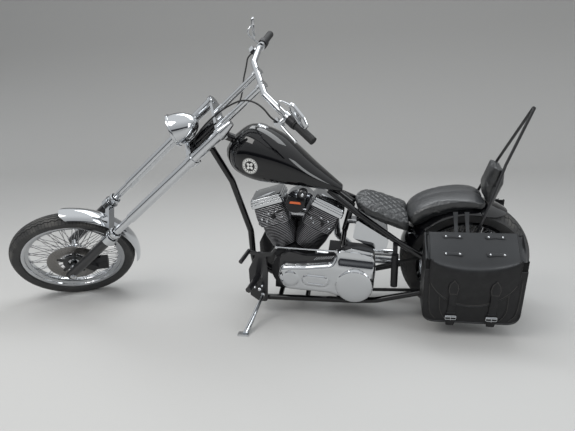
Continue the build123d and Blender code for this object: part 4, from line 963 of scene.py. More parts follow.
def cushion_ring(x, half, middle, rim, under, steps=14):
    """A crowned section across the motorcycle, flat underneath."""
    ring = []
    for step in range(-steps, steps + 1):
        share = step / steps
        ring.append((x, half * share, rim + (middle - rim) * (1 - abs(share) ** 2.4)))
    skirt = [(half + 2, rim - 6), (half + 2, (rim + under) / 2), (half - 4, under + 5),
             (half - 14, under)]
    right = [(x, y, z) for y, z in skirt]
    left = [(x, -y, z) for y, z in reversed(skirt)]
    base = [(x, half * share, under) for share in (0.6, 0.3, 0.0, -0.3, -0.6)]
    return ring + right + base + left


def shrunk(rings, amount):
    """Rings drawn in towards their own middles."""
    drawn_in = []
    for ring in rings:
        middle = sum((Vector(corner) for corner in ring), Vector()) / len(ring)
        drawn_in.append([tuple(Vector(c) - (Vector(c) - middle).normalized() * amount)
                         for c in ring])
    return drawn_in


rider_rings = shrunk([cushion_ring(*row) for row in smooth_rows(SEAT_ROWS, 4)], 5)
print("seat of", len(rider_rings), "sections with", len(rider_rings[0]), "corners each")

# %% [markdown]
# The top of the seat is quilted in diamonds. Stitching pulls the leather into channels
# that cross each other. Two sets of slanted lanes give them, and the channels fade out
# where the surface turns down to the skirt, because the stitching ends there.

# %% Rider seat: cushion and quilting
QUILT_WIDE, QUILT_DEEP, CHANNEL = 44, 4.6, 9
QUILT_FROM, QUILT_FADE = 0.45, 0.25


def quilting(corner, normal):
    """Diamond channels on the top of the seat."""
    depth = 0.0
    if normal.z > QUILT_FROM:
        for turn_sign in (-1, 1):
            lane = (corner.x + turn_sign * corner.y * 0.9) / QUILT_WIDE
            gap = abs(lane - round(lane)) * QUILT_WIDE
            depth = max(depth, QUILT_DEEP * max(0.0, 1 - gap / CHANNEL) ** 1.5)
        depth *= min(1.0, (normal.z - QUILT_FROM) / QUILT_FADE)
    return depth


rider = piece("rider_cushion", skin(rider_rings), BIKE, "frame", SEAT_LEATHER, ["rider_seat"])
inflated(rider, voxel=0.004, most=0.006)
pressed(rider, quilting)
softened(rider)

# %% [markdown]
# ## Pillion pad
# The pad follows the rear fender, which is round about the rear wheel. Bending a straight
# cushion with a curve modifier would stretch its sections. Each section is given by its
# angle over the wheel instead, and its underside by the fender's own radius, so that the
# pad lies on the fender everywhere.

# %% Pillion pad, along the fender
PAD_ROWS = (
    # angle over the rear wheel, half width, radius at the middle, radius at the rim
    (79, 78, 349, 343),
    (82, 100, 362, 350),
    (88, 112, 374, 358),
    (101, 114, 381, 369),
    (112, 114, 392, 380),
    (124, 113, 404, 391),
    (133, 108, 409, 394),
    (138.5, 96, 402, 386),
    (141, 78, 384, 372),
)


def fender_radius(y):
    """How far the fender's skin lies from the axle, y away from its middle."""
    return 335 - 34 * (y / 118) ** 2 + 2.5


def pad_ring(angle, half, middle, rim, steps=12):
    """A section that stands on the fender at an angle over the wheel."""
    across = []
    for step in range(-steps, steps + 1):
        share = step / steps
        across.append((half * share, rim + (middle - rim) * (1 - abs(share) ** 2.6)))
    low = [(half, rim - 8), (half + 1, rim - 20), (half, max(rim - 34, fender_radius(half) + 6))]
    low = [(y, max(r, fender_radius(y) + 1)) for y, r in low]
    under = [(half * share, fender_radius(half * share))
             for share in (0.8, 0.5, 0.2, -0.2, -0.5, -0.8)]
    ring = across + low + under + [(-y, r) for y, r in reversed(low)]
    way = radians(angle)
    return [(r * cos(way), y, REAR_AXLE_Z + r * sin(way)) for y, r in ring]


pad_rings = shrunk([pad_ring(*row) for row in smooth_rows(PAD_ROWS, 3)], 4)
pillion = piece("pillion_cushion", skin(pad_rings), BIKE, "frame", SEAT_LEATHER,
                ["pillion_pad"])
inflated(pillion)
softened(pillion)

# %% [markdown]
# ## Backrest
# The backrest is a small upright pad on the sissy bar, and from the side it looks like a
# bean. So its side view is drawn and carried across the motorcycle, and the outline is
# drawn in towards both ends for the rounded edges.

# %% Backrest
BACKREST_SECTIONS = (
    # y, how far the outline is drawn in
    (-62, 9), (-60, 4), (-54, 1), (-40, 0), (-20, 0), (0, 0), (20, 0), (40, 0), (54, 1),
    (60, 4), (62, 9),
)
backrest_outline = rounded([(64, 664, 10), (49, 738, 40), (86, 852, 12), (136, 828, 12),
                            (140, 757, 30), (106, 654, 10)])
backrest_rings = []
for y, pull in BACKREST_SECTIONS:
    backrest_rings.append([(x, y, z) for x, z in inset(backrest_outline, pull + 3)])
backrest = piece("backrest_cushion", skin(backrest_rings), BIKE, "frame", SEAT_LEATHER,
                 ["backrest_pad"])
inflated(backrest)
softened(backrest)

# %% [markdown]
# ## Saddlebags
# Each bag is a box of stiff harness leather. Its lid falls from a hinge line beside the
# fender, rounds over a drooping crease and hangs as a flap with a curved hem. The drop of
# crease and hem in the middle gives the bag its used look. A cloth simulation would find
# some droop of its own. A path that changes along the bag puts it where it belongs.

# %% Lid
LID_FRONT, LID_BACK = -205, 190
LID_FACE = 335
HINGE_Y = 195
LID_THICK, LID_STEPS = 4.0, 56
BAGS = (("left", -1), ("right", 1))


def lid_path(share):
    """The lid's path in (y, z) from the hinge to the hem, at a share of its length."""
    bow = 1 - (2 * share - 1) ** 2
    crease_z = 492 - 80 * bow ** 0.8
    hem_z = 396 - 146 * bow ** 0.62
    belly = 11 * bow
    path = [(HINGE_Y, 571), (228, 550 - 5 * bow), (262, 529 - 12 * bow), (294, 508 - 20 * bow),
            (320, 490 - 30 * bow), (331 + belly * 0.3, crease_z + 14 + 22 * bow),
            (LID_FACE + belly * 0.8, crease_z + 4 * bow), (LID_FACE + belly, crease_z - 26),
            (LID_FACE + belly * 0.7, crease_z * 0.6 + hem_z * 0.4),
            (LID_FACE + belly * 0.3, crease_z * 0.3 + hem_z * 0.7), (LID_FACE - 1, hem_z)]
    return [(point.y, point.z) for point in smooth_line([(0, y, z) for y, z in path], 5)]


def lid_shape(side):
    """The sheet of the lid, with a slow wave in its leather."""
    rings = []
    for step in range(LID_STEPS + 1):
        share = step / LID_STEPS
        x = LID_FRONT + (LID_BACK - LID_FRONT) * share
        path = lid_path(share)
        outer, inner = [], []
        for k, (y, z) in enumerate(path):
            before, after = path[max(k - 1, 0)], path[min(k + 1, len(path) - 1)]
            way = Vector((after[0] - before[0], after[1] - before[1])).normalized()
            wave = 1.2 * noise.noise(Vector((x * 0.012, z * 0.014, side * 3.0)))
            outer.append((x, side * (y + wave), z + wave * 0.5))
            inner.append((x, side * (y + wave + way.y * LID_THICK),
                          z + wave * 0.5 - way.x * LID_THICK))
        rings.append(outer + list(reversed(inner)))
    return skin(rings)


print("crease", round(max(y for y, z in lid_path(0.5))), "mm out at the middle of the bag")

# %% [markdown]
# The lid carries riveted leather loops on its slope, the pointed ends of two straps on
# its flap, a rolled edge all round and a row of stitches along the hem. The loops are
# waisted in the middle and the strap ends are cut to a point. Both are drawn as outlines
# with a radius at each corner, because cut leather has no sharp ones.

# %% Outlines of loops and strap ends
LOOPS = (
    # x, share of the way from the hinge to the crease
    (-99, 0.15), (92, 0.15), (-103, 0.62), (93, 0.62),
)
HINGE_TO_CREASE = 137
STRAP_X = (-94, 92)
loop_outline = rounded([(-46, -6, 6), (-38, -11, 6), (-24, -9, 6), (0, -6.5, 10), (24, -9, 6),
                        (38, -11, 6), (46, -6, 6), (46, 6, 6), (38, 11, 6), (24, 9, 6),
                        (0, 6.5, 10), (-24, 9, 6), (-38, 11, 6), (-46, 6, 6)], 3)
tip_outline = rounded([(0, 404, 3), (20, 380, 14), (25, 352, 16), (19, 322, 4), (-19, 322, 4),
                       (-25, 352, 16), (-20, 380, 14)], 5)


print("loop of", len(loop_outline), "points, strap end of", len(tip_outline))

# %% [markdown]
# Each outline is laid on the lid at its own place. A loop lies on the slope, so it is
# turned with it. A strap stands on the upright flap. Stitches as a picture would blur
# close up, so they are a fine tube that follows the same path as the leather.


# %% Dress the lids
def on_face(x, y, side):
    """Stands a shape that was drawn towards -y on the outer face of a bag."""
    return at(x, side * y, 0) @ Matrix.Diagonal((1, -side, 1, 1))


def lid_dressing(side):
    """Leather, chrome and thread of one lid, as three shapes."""
    hides, metals, threads = [], [], []
    for x, share in LOOPS:
        path = lid_path((x - LID_FRONT) / (LID_BACK - LID_FRONT))
        nearest = min(path, key=lambda point: abs(point[0] - HINGE_Y - HINGE_TO_CREASE * share))
        lay = at(x, side * (nearest[0] + 1), nearest[1] + 1, (-90 - side * 43, "X"))
        hides.append(shifted(plate(loop_outline, 1.5, -2.5, 1.2, 2), lay))
        for rivet_x in (-31, 31):
            metals.append(shifted(shifted(dome(5, 4), at(rivet_x, -2, 0)), lay))
    for x in STRAP_X:
        face = on_face(x, LID_FACE + 7, side)
        hides.append(shifted(plate(tip_outline, 1.0, -5.0, 1.5, 2), face))
        hides.append(shifted(plate(oblong(-17, 330, 17, 255, 2), 6.0, -3.0, 1, 2), face))
        stitch = [(px, -5.2, pz) for px, pz in inset(tip_outline, 4)]
        threads.append(shifted(tube(stitch, 0.7, 5, True), face))
    hem, seam = [], []
    for step in range(LID_STEPS + 1):
        share = step / LID_STEPS
        y, z = lid_path(share)[-1]
        x = LID_FRONT + (LID_BACK - LID_FRONT) * share
        hem.append((x, side * (y - 1), z))
        if 0 < step < LID_STEPS:
            seam.append((x, side * (y + 0.6), z + 8))
    for x, share in ((LID_FRONT, 0.0), (LID_BACK, 1.0)):
        hides.append(tube([(x, side * (y - 1), z) for y, z in lid_path(share)], 2.8, 8))
    hides.append(tube(hem, 2.8, 8))
    threads.append(tube(seam, 0.9, 5))
    return merged(*hides), merged(*metals), merged(*threads)


for name, side in BAGS:
    body = "lid_" + name
    piece("saddlebag_lid_leather_" + name, lid_shape(side), BIKE, body, BAG_LEATHER,
          ["saddlebag_lid_" + name])
    hides, metals, threads = lid_dressing(side)
    piece("lid_straps_" + name, hides, BIKE, body, BAG_LEATHER)
    piece("lid_rivets_" + name, metals, BIKE, body, CHROME)
    piece("lid_stitches_" + name, threads, BIKE, body, THREAD)

# %% [markdown]
# At both ends of a bag a loose gusset folds in under the lid and closes the gap above the
# end wall. It stays with the bag when the lid opens. It could be a cloth pinned at two
# edges. A skin whose sections sag a little is steadier, and it keeps clear of the lid.

# %% Gussets that fold in under the lid
WALL_FRONT, WALL_BACK, WALL_TOP_Z = -226, 220, 436
GUSSET_FACE, GUSSET_THICK = 327, 3


def gusset(side):
    """The folded end leathers, from the top of each end wall in under the lid."""
    shapes = []
    for wall_x, lid_x in ((WALL_FRONT, LID_FRONT + 4), (WALL_BACK, LID_BACK - 4)):
        inward = 1 if lid_x > wall_x else -1
        path = [spot for spot in lid_path(0.0 if inward > 0 else 1.0) if spot[1] > WALL_TOP_Z]
        rings = []
        for y, z in path:
            sag = 5 + 4 * sin((y - HINGE_Y) * 0.045)
            fold = [(wall_x, z - 4), (wall_x + inward * 5, z - 2),
                    (wall_x + inward * 13, z - 6 - sag), (lid_x - inward * 2, z - 9),
                    (lid_x + inward * 9, z - 10)]
            upper = smooth_line([(x, side * min(y, GUSSET_FACE), at_z) for x, at_z in fold], 3)
            lower = [tuple(p - Vector((0, 0, GUSSET_THICK))) for p in reversed(upper)]
            rings.append([tuple(p) for p in upper] + lower)
        shapes.append(skin(rings))
    return merged(*shapes)


for name, side in BAGS:
    piece("bag_gusset_" + name, gusset(side), BIKE, "frame", BAG_LEATHER)

# %% [markdown]
# The body of a bag is the CAD shell. What makes it read as leather is its dressing: thick
# piping where panels meet, seams with thread beside them, and straps that run down to
# chrome buckles. All of it is tubes and thin plates laid on the face.

# %% Dress the bag bodies
BAG_FACE, BAG_BACK = 329, 199
PIPING_R, SEAM_R, THREAD_R = 4.2, 1.8, 0.7
SEAMS = (
    ((-158, 330), (-156, 290), (-152, 233), (-140, 196), (-122, 168)),
    ((150, 330), (152, 290), (152, 233), (142, 196), (124, 168)),
    ((-206, 400), (-206, 330), (-203, 260), (-194, 205), (-168, 170)),
    ((200, 400), (202, 330), (200, 260), (192, 205), (166, 170)),
)
bag_rim = rounded([(-224, 470, 2), (-224, 154, 60), (218, 154, 60), (218, 470, 2)], 9)
lower_strap = rounded([(-17, 262, 2), (17, 262, 2), (17, 176, 2), (24, 166, 6), (18, 136, 5),
                       (-18, 136, 5), (-24, 166, 6), (-17, 176, 2)], 3)


def bag_dressing(side):
    """Leather, chrome and thread of one bag's body, as three shapes."""
    hides, metals, threads = [], [], []
    for face_y in (BAG_FACE, BAG_BACK):
        loop = [(x, side * face_y, z) for x, z in bag_rim if z < 468]
        hides.append(tube(loop, PIPING_R, 8))
    for curve in SEAMS:
        seam = smooth_line([(x, side * (BAG_FACE + 0.5), z) for x, z in curve], 6)
        hides.append(tube(seam, SEAM_R, 6))
        threads.append(tube([p + Vector((5, side * 0.6, 0)) for p in seam], THREAD_R, 5))
    for x in STRAP_X:
        face = on_face(x, BAG_FACE, side)
        hides.append(shifted(plate(lower_strap, 0.0, -4.5, 1, 2), face))
        hides.append(shifted(plate(oblong(-20, 212, 20, 202, 3, 3), 0.0, -8.0, 1.5, 2), face))
        buckle = [(px, -9, pz) for px, pz in oblong(-25, 196, 25, 174, 5, 4)]
        metals.append(shifted(tube(buckle, 1.7, 8, True), face))
        metals.append(shifted(tube([(-25, -10, 190), (25, -10, 190)], 3.6, 8), face))
        metals.append(shifted(tube([(0, -10, 190), (0, -12, 172)], 1.6, 6), face))
    return merged(*hides), merged(*metals), merged(*threads)


for name, side in BAGS:
    hides, metals, threads = bag_dressing(side)
    piece("bag_piping_" + name, hides, BIKE, "frame", BAG_LEATHER)
    piece("bag_buckles_" + name, metals, BIKE, "frame", CHROME)
    piece("bag_stitches_" + name, threads, BIKE, "frame", THREAD)

# %% [markdown]
# Two straps a side run from the fender rail down to the bag and carry it. They are narrow
# in the middle and wide at their ends, where they are riveted. A flat band that follows a
# smooth line, with its width changing on the way, is all that they need.

# %% Yoke straps
YOKE_LINE = ((199, 506), (199, 556), (162, 596), (126, 643))
YOKE_X = (-82, -30)
YOKE_THICK = 4.5


def yoke_shape(side):
    """The straps that carry a bag from the fender's side."""
    shapes = []
    path = smooth_line([(0, y, z) for y, z in YOKE_LINE], 6)
    for x in YOKE_X:
        rings = []
        for k, point in enumerate(path):
            half = 11 - 3 * sin(pi * k / (len(path) - 1))
            way = (path[min(k + 1, len(path) - 1)] - path[max(k - 1, 0)]).normalized()
            outer = point + Vector((0, way.z, -way.y)) * YOKE_THICK
            rings.append([(x - half, side * point.y, point.z), (x + half, side * point.y, point.z),
                          (x + half, side * outer.y, outer.z), (x - half, side * outer.y, outer.z)])
        shapes.append(skin(rings))
    return merged(*shapes)


piece("bag_yoke_straps", merged(yoke_shape(-1), yoke_shape(1)), BIKE, "frame", BAG_LEATHER,
      ["saddlebag_yokes"])

# %% [markdown]
# ## Cylinders
# Two air-cooled cylinders stand in a vee. Round fins cool the barrels and square fins the
# heads, and the fins are black with machined bright rims. Both need fins as geometry,
# because the gaps between them are what the eye counts. The barrel is one turned profile.
# The bright rims are thin rings of their own, so that they can have their own metal.

# %% Barrels and heads with bright fin edges
CYLINDERS = (
    # name, side: the front one leans forward and the rear one back
    ("cylinder_front", -1),
    ("cylinder_rear", 1),
)
V_HALF = 22.5
DECK, HEAD_FROM, HEAD_TO = 142, 281, 390
FIN_PITCH, FIN_STEPS, CORE_R = 9, 56, 57
UPRIGHT = at(0, 0, 0, (90, "X"))


def split_by_v(shape, side):
    """Holds a cylinder's corners on its own side of the vee."""
    return [(side * max(side * x, 1.5), y, z) for x, y, z in shape[0]], shape[1]


def barrel_radius(z):
    """The fins grow from the deck upwards."""
    return 78 + 12 * min(1.0, (z - DECK) / 70)


def barrel_shapes(side):
    """Dark fins and bright edges of one cylinder, each with the barrel before the head."""
    lean = at(0, 0, 0, (side * V_HALF, "Y"))
    core, barrel_edges, head_fins, head_edges = [(CORE_R, DECK)], [], [], []
    for z in range(DECK + 8, HEAD_FROM - 4, FIN_PITCH):
        radius = barrel_radius(z)
        core += [(CORE_R + 2, z - 1.8), (radius - 1, z - 1.1), (radius - 1, z + 1.1),
                 (CORE_R + 2, z + 1.8)]
        barrel_edges.append(turned([(radius - 2, z - 1.3), (radius, z - 1.3), (radius, z + 1.3),
                                    (radius - 2, z + 1.3)], FIN_STEPS, True))
    for k, z in enumerate(range(HEAD_FROM + 4, HEAD_TO - 4, FIN_PITCH)):
        half = 84 + 3 * sin(k * 0.35)
        for inward, upward, kind in ((1.0, 1.5, head_fins), (0.0, 1.3, head_edges)):
            reach = half - inward
            fin = oblong(-reach, -reach, reach, reach, 30)
            kind.append(slab(fin, z - upward, z + upward, 0.4, 1, 0.1))
    head_fins.append(slab(oblong(-66, -66, 66, 66, 20), HEAD_FROM, HEAD_TO, 1, 1))
    barrel = turned(core + [(CORE_R, HEAD_FROM)], FIN_STEPS, True)
    both = []
    for lathe_work, head_work in ((barrel, head_fins), (merged(*barrel_edges), head_edges)):
        lathe_work = shifted(shifted(lathe_work, UPRIGHT), lean)
        head_work = shifted(merged(*head_work), lean)
        both.append(merged(split_by_v(lathe_work, side), split_by_v(head_work, side)))
    return both


for node, side in CYLINDERS:
    dark_fins, bright_edges = barrel_shapes(side)
    piece(node + "_fins", dark_fins, ENGINE, "frame", DARK_METAL, [node])
    piece(node + "_edges", bright_edges, ENGINE, "frame", FIN_EDGE)

# %% [markdown]
# ## Rocker boxes
# On each head sits a stack of three polished castings, with a raised panel on top and six
# domed bolts. One box with grooves would look alike from afar. Three separate slabs with
# a thin shadow between them keep their own rounded rims, which is where chrome shows.

# %% Rocker boxes
ROCKER_FOOT = 392
CASTINGS = (
    # from, to, half length, half width, rim, corner
    (0, 19, 89, 80, 2.5, 14),
    (20.5, 31, 87, 78, 2.5, 14),
    (32, 46, 84, 75, 8, 18),
)


def rocker_shape():
    """Three castings, one on the other, drawn lying on z."""
    layers = []
    for low, high, half_x, half_y, edge, corner in CASTINGS:
        outline = oblong(-half_x, -half_y, half_x, half_y, corner)
        layers.append(slab(outline, low, high, edge, 4))
    layers.append(slab(oblong(-56, -50, 56, 50, 16), 45, 47, 1.5, 2))
    for x in (-70, 0, 70):
        for y in (-62, 62):
            layers.append(shifted(dome(6.5, 6, 3), at(x, y, 41, (-90, "X"))))
    return merged(*layers)


rockers = [shifted(rocker_shape(), at(0, 0, 0, (side * V_HALF, "Y")) @ at(0, 0, ROCKER_FOOT))
           for node, side in CYLINDERS]
piece("rocker_castings", merged(*rockers), ENGINE, "frame", CHROME, ["rocker_boxes"])

# %% [markdown]
# ## Primary cover
# The long chrome cover over the primary drive is the brightest thing on this side of the
# engine. It is a tray with rounded sides, a broad clutch dome, a small round bulge ahead
# and an oval hatch between. Its outline is drawn first, in the engine's frame.

# %% Primary cover: outline and measures
PRIMARY_ROWS = ((-68, 20, 60), (-52, 88, 44), (78, 104, 60), (204, 131, 30), (240, 204, 40),
                (318, 202, 60), (414, 184, 24), (430, 110, 30), (428, -20, 84), (345, -90, 70),
                (204, -52, 80), (-30, -58, 60))
COVER_FOOT, COVER_PLANE, COVER_PROUD, COVER_ROUND = -166, -171, 34, 26
CLUTCH_AT, CLUTCH_DOME_R, CLUTCH_RISE = (331, 18), 100, 12.5
COMP_AT, COMP_R, COMP_RISE = (2, 22), 45, 7
HATCH_FROM, HATCH_TO, HATCH_Z, HATCH_R = 94, 170, 23, 30
cover_outline = rounded(PRIMARY_ROWS, 9)
outline_points = [Vector(point) for point in cover_outline]
print("primary cover outline of", len(cover_outline), "points")

# %% [markdown]
# Merging domes and trays as solids leaves hard seams between them, and a casting has
# none. So the cover is a height field: for any spot, one function says how far it stands
# out. Quarter circles give rounded sides and bulges, and an eased step gives the slope
# of the upper shoulder.


# %% Primary cover: how far it stands out
def edge_distance(spot):
    """How far a spot of the cover lies from the cover's edge."""
    nearest = 1e9
    for a, b in zip(outline_points, outline_points[1:] + outline_points[:1]):
        along = b - a
        share = max(0.0, min(1.0, (spot - a).dot(along) / max(along.length_squared, 1e-9)))
        nearest = min(nearest, (spot - a - along * share).length)
    return nearest


def ease(value):
    """A smooth rise from 0 to 1."""
    value = max(0.0, min(1.0, value))
    return value * value * (3 - 2 * value)


def arc(value):
    """The rise of a quarter circle, from 0 to 1."""
    value = max(0.0, min(1.0, value))
    return sqrt(max(0.0, 1 - (1 - value) ** 2))


def cover_rise(spot):
    """A rounded tray, a sloped shoulder and three bulges, at one spot of the cover."""
    rise = COVER_PROUD * arc(edge_distance(spot) / COVER_ROUND)
    shoulder = 5 + (COVER_PROUD - 5) * (1 - ease((spot.y - 96) / 96))
    rise += (min(rise, shoulder) - rise) * ease((spot.x - 196) / 50)
    from_clutch = (spot - Vector(CLUTCH_AT)).length
    if from_clutch < CLUTCH_DOME_R:
        dome_rise = COVER_PROUD + CLUTCH_RISE * arc(1 - (from_clutch / CLUTCH_DOME_R) ** 2)
        rise = max(rise, dome_rise * arc((CLUTCH_DOME_R - from_clutch) / 9))
    from_comp = (spot - Vector(COMP_AT)).length
    if from_comp < COMP_R:
        rise += COMP_RISE * arc((COMP_R - from_comp) / 14)
    nearest_x = max(HATCH_FROM, min(HATCH_TO, spot.x))
    from_hatch = HATCH_R - (spot - Vector((nearest_x, HATCH_Z))).length
    rise += 4.5 * arc(from_hatch / 8) - 2.5 * max(0.0, 1 - abs(from_hatch + 4) / 4)
    return rise


print("clutch dome stands out", round(cover_rise(Vector(CLUTCH_AT)), 1), "mm")

# %% [markdown]
# The height field becomes a mesh. A plain grid would leave steps along the outline. A
# triangulation that is bound to the outline keeps its edge exact and fills the inside
# with an even pattern of points. A straight wall closes the gap to the plane behind.

# %% Primary cover: the shell
SPOT_STEP = 5.0


def cover_shape():
    """A skin over the outline, with a point every few millimetres."""
    spots = list(outline_points)
    low = Vector((min(p.x for p in spots), min(p.y for p in spots)))
    high = Vector((max(p.x for p in spots), max(p.y for p in spots)))
    for row in range(1, int((high.y - low.y) / SPOT_STEP)):
        for column in range(1, int((high.x - low.x) / SPOT_STEP)):
            spots.append(Vector((low.x + (column + row % 2 * 0.5) * SPOT_STEP,
                                 low.y + row * SPOT_STEP)))
    count = len(outline_points)
    border = [(k, (k + 1) % count) for k in range(count)]
    points, _, faces, *_ = geometry.delaunay_2d_cdt(spots, border, [], 1, 0.01)
    corners = [(p.x, COVER_PLANE - cover_rise(p), p.y) for p in points]
    wall = [[(x, y, z) for x, z in cover_outline] for y in (COVER_FOOT, COVER_PLANE)]
    return merged((corners, [tuple(face) for face in faces]), skin(wall, True, False))


hatch_bar = plate(oblong(92, 2, 176, 11, 4, 4), -206, -213.5, 3, 4)
piece("primary_shell", merged(cover_shape(), hatch_bar), ENGINE, "frame", CHROME,
      ["primary_cover"])

# %% [markdown]
# Domed screws hold the cover around its edge, and two small ones hold the hatch. Each
# must sit on the curved skin, so its depth comes from the same height function as the
# cover. Placing them by eye would leave some sunk and some floating.

# %% Primary cover: the screws
SCREWS = ((-56, 24), (-38, 82), (24, 93), (112, 104), (196, 126), (230, 182), (262, 200),
          (400, 180), (418, 112), (420, 20), (392, -50), (210, -46), (110, -44), (10, -48))
HATCH_SCREWS = ((76, 23), (188, 23))
screws = [shifted(dome(6, 7, 4), at(x, -172 - cover_rise(Vector((x, z))) * 0.5, z))
          for x, z in SCREWS]
screws += [shifted(dome(4, 3, 1.5, 4, 16), at(x, -208, z)) for x, z in HATCH_SCREWS]
piece("primary_screws", merged(*screws), ENGINE, "frame", CHROME)

# %% [markdown]
# ## Louvres
# Behind the cover's upper edge, slanted ribs break up the dark inner primary, and a
# polished strip with two bolts closes its top. The ribs are one small slanted plate,
# repeated in a row that climbs gently.

# %% Louvred upper plate on the inner primary
LOUVRES_FROM, LOUVRES_TO, LOUVRE_PITCH = 122, 212, 12
rib = plate(rounded([(-9, -9, 2), (-5, -9, 2), (9, 9, 2), (5, 9, 2)], 2), -165, -169, 1, 1)
louvres = [shifted(rib, at(x, 0, 136 + (x - 130) * 0.22))
           for x in range(LOUVRES_FROM, LOUVRES_TO, LOUVRE_PITCH)]
strip = plate(rounded([(262, 200, 4), (296, 218, 8), (404, 206, 8), (412, 190, 4),
                       (330, 196, 10)], 4), -166, -172, 1.5, 2)
strip_bolts = [shifted(dome(5, 4, 2), at(x, -172, z)) for x, z in ((300, 209), (398, 199))]
piece("primary_louvres", merged(*louvres), ENGINE, "frame", ALLOY)
piece("primary_strip", merged(strip, *strip_bolts), ENGINE, "frame", CHROME)

# %% [markdown]
# ## Head bolts and plug leads
# Each head shows five bolts and one spark plug with a ribbed rubber boot. A thick lead
# leaves the boot and bows up under the tank. All of it is set out upright and then leaned
# with its cylinder, so that one list of places serves both.

# %% Head bolts, plugs and their leads
HEAD_BOLTS = ((-52, 330), (-6, 352), (34, 352), (56, 318), (-30, 312))
PLUG_X, PLUG_Z = 14, 330
plug_boot = turned([(9, -80), (10, -92), (8, -106), (5, -116), (1, -117)], 20)
bolts, leads = [], []
for node, side in CYLINDERS:
    lean = at(0, 0, 0, (side * V_HALF, "Y"))
    for x, z in HEAD_BOLTS:
        bolts.append(shifted(dome(7, 9, 4), lean @ at(x, -86, z)))
    leads.append(shifted(plug_boot, lean @ at(PLUG_X, 0, PLUG_Z)))
    foot = lean @ Vector((PLUG_X, -108, PLUG_Z))
    lead = smooth_line([foot, foot + Vector((side * 6, -14, 18)),
                        foot + Vector((-side * 26, -12, 44)), Vector((-side * 2, -96, 372))], 8)
    leads.append(tube(lead, 4, 8))
piece("head_bolts", merged(*bolts), ENGINE, "frame", CHROME)
piece("plug_leads", merged(*leads), ENGINE, "frame", RUBBER)

# %% [markdown]
# ## Intake
# In the vee between the cylinders an arched manifold joins both heads and reaches across to the carburettor.
# Behind it a dark plate fills the gap and stands in for the parts and the shade seen through it. Little of it is
# seen, but the gap would look empty without it. Two fat tubes and a plate are enough for that.

# %% Intake manifold and a dark plate as painted shade, in the V between the cylinders
manifold_arch = [(-70, 0, 322), (-40, 6, 300), (0, 14, 290), (40, 6, 300), (70, 0, 322)]
manifold = [tube(smooth_line(manifold_arch, 5), 23, 20),
            tube([(0, 10, 292), (0, 62, 296)], 22, 20)]
# A dark plate behind the manifold: it stands in for the shaded parts seen through the vee.
shade_plate_outline = rounded([(-12, 168, 4), (12, 168, 4), (66, 312, 8), (-66, 312, 8)], 3)
shade_plate = plate(shade_plate_outline, 38, 32, 1, 1)
piece("intake_manifold", merged(*manifold, shade_plate), ENGINE, "frame", DARK_METAL)

# %% [markdown]
# ## Painted horn reflection and ignition knob
# The horn cover is a plain chrome cup, with an orange reflection painted on as a band near its top. Beside it sits
# the ignition switch: a dark bezel and a small bright knob. The painted reflection, bezel and knob have finishes
# of their own, so each is a piece of its own.

# %% Painted orange reflection on the horn, and ignition knob
SWITCH_AT = at(32, 0, 474)
reflection_outline = rounded([(-24, 436, 3), (24, 436, 3), (30, 424, 3), (-30, 424, 3)], 3)
bezel = turned([(22, -136), (22, -142), (18, -146), (1, -146)], 32)
knob = turned([(9, -145), (9, -152), (6, -156), (1, -156.5)], 24)
# The orange band is a painted reflection on the top of the horn cover.
piece("horn_painted_reflection", plate(reflection_outline, -153, -155, 0.6, 1), ENGINE, "frame", PAINTED_ORANGE_REFLECTION)
piece("ignition_bezel", shifted(bezel, SWITCH_AT), ENGINE, "frame", SATIN_BLACK)
piece("ignition_knob", shifted(knob, SWITCH_AT), ENGINE, "frame", CHROME)

# %% [markdown]
# ## Fork boots
# Where the fork tubes enter the sliders, a pleated rubber boot keeps the dust out, and a
# chrome ring holds it. The pleats are a zigzag profile turned about the tube, which needs
# fewer points than pleats pressed into a cylinder.

# %% Rubber boots and rings at the slider tops
SLIDER_TOP_X, TUBE_Y, SLIDER_TOP_Z = -26, 131, -866
boot_profile = [(27, -17), (30, -15), (29, -9), (31, -6), (28, 0), (30, 4), (26.5, 8)]
ring_profile = [(27, 8), (33, 9), (34, 13), (32, 18), (27, 19)]
boots, boot_rings = [], []
for side in (-1, 1):
    lay = at(SLIDER_TOP_X, side * TUBE_Y, SLIDER_TOP_Z, (90, "X"))
    boots.append(shifted(turned(boot_profile, 32, True), lay))
    boot_rings.append(shifted(turned(ring_profile, 32, True), lay))
piece("fork_boots", merged(*boots), FORK, "fork", RUBBER)
piece("fork_rings", merged(*boot_rings), FORK, "fork", CHROME)

# %% [markdown]
# ## Stand nuts
# Three domed nuts hold the side stand's bracket to the frame. A turned profile with six steps is a hexagon, and
# its last points draw in to the dome. The nuts are shaded smooth all over.

# %% Chrome nuts at the side stand's bracket
STAND_NUTS = ((-1062, 182, 12), (-1046, 206, 9), (-1085, 196, 8))
nuts = []
for x, z, r in STAND_NUTS:
    profile = [(r, 0), (r, -6), (r * 0.6, -9), (r * 0.55, -12), (1, -13)]
    nuts.append(shifted(turned(profile, 6), at(x, -163, z)))
piece("stand_nuts", merged(*nuts), BIKE, "frame", CHROME, flat=True)

# %% [markdown]
# ## Mirrors
# Each mirror is a teardrop head on a bent stalk, turned to look back. The two point in
# different directions. So each is given by its middle, the way it stretches and the
# way it faces, and three perpendicular directions made from these carry the same outline
# for both.

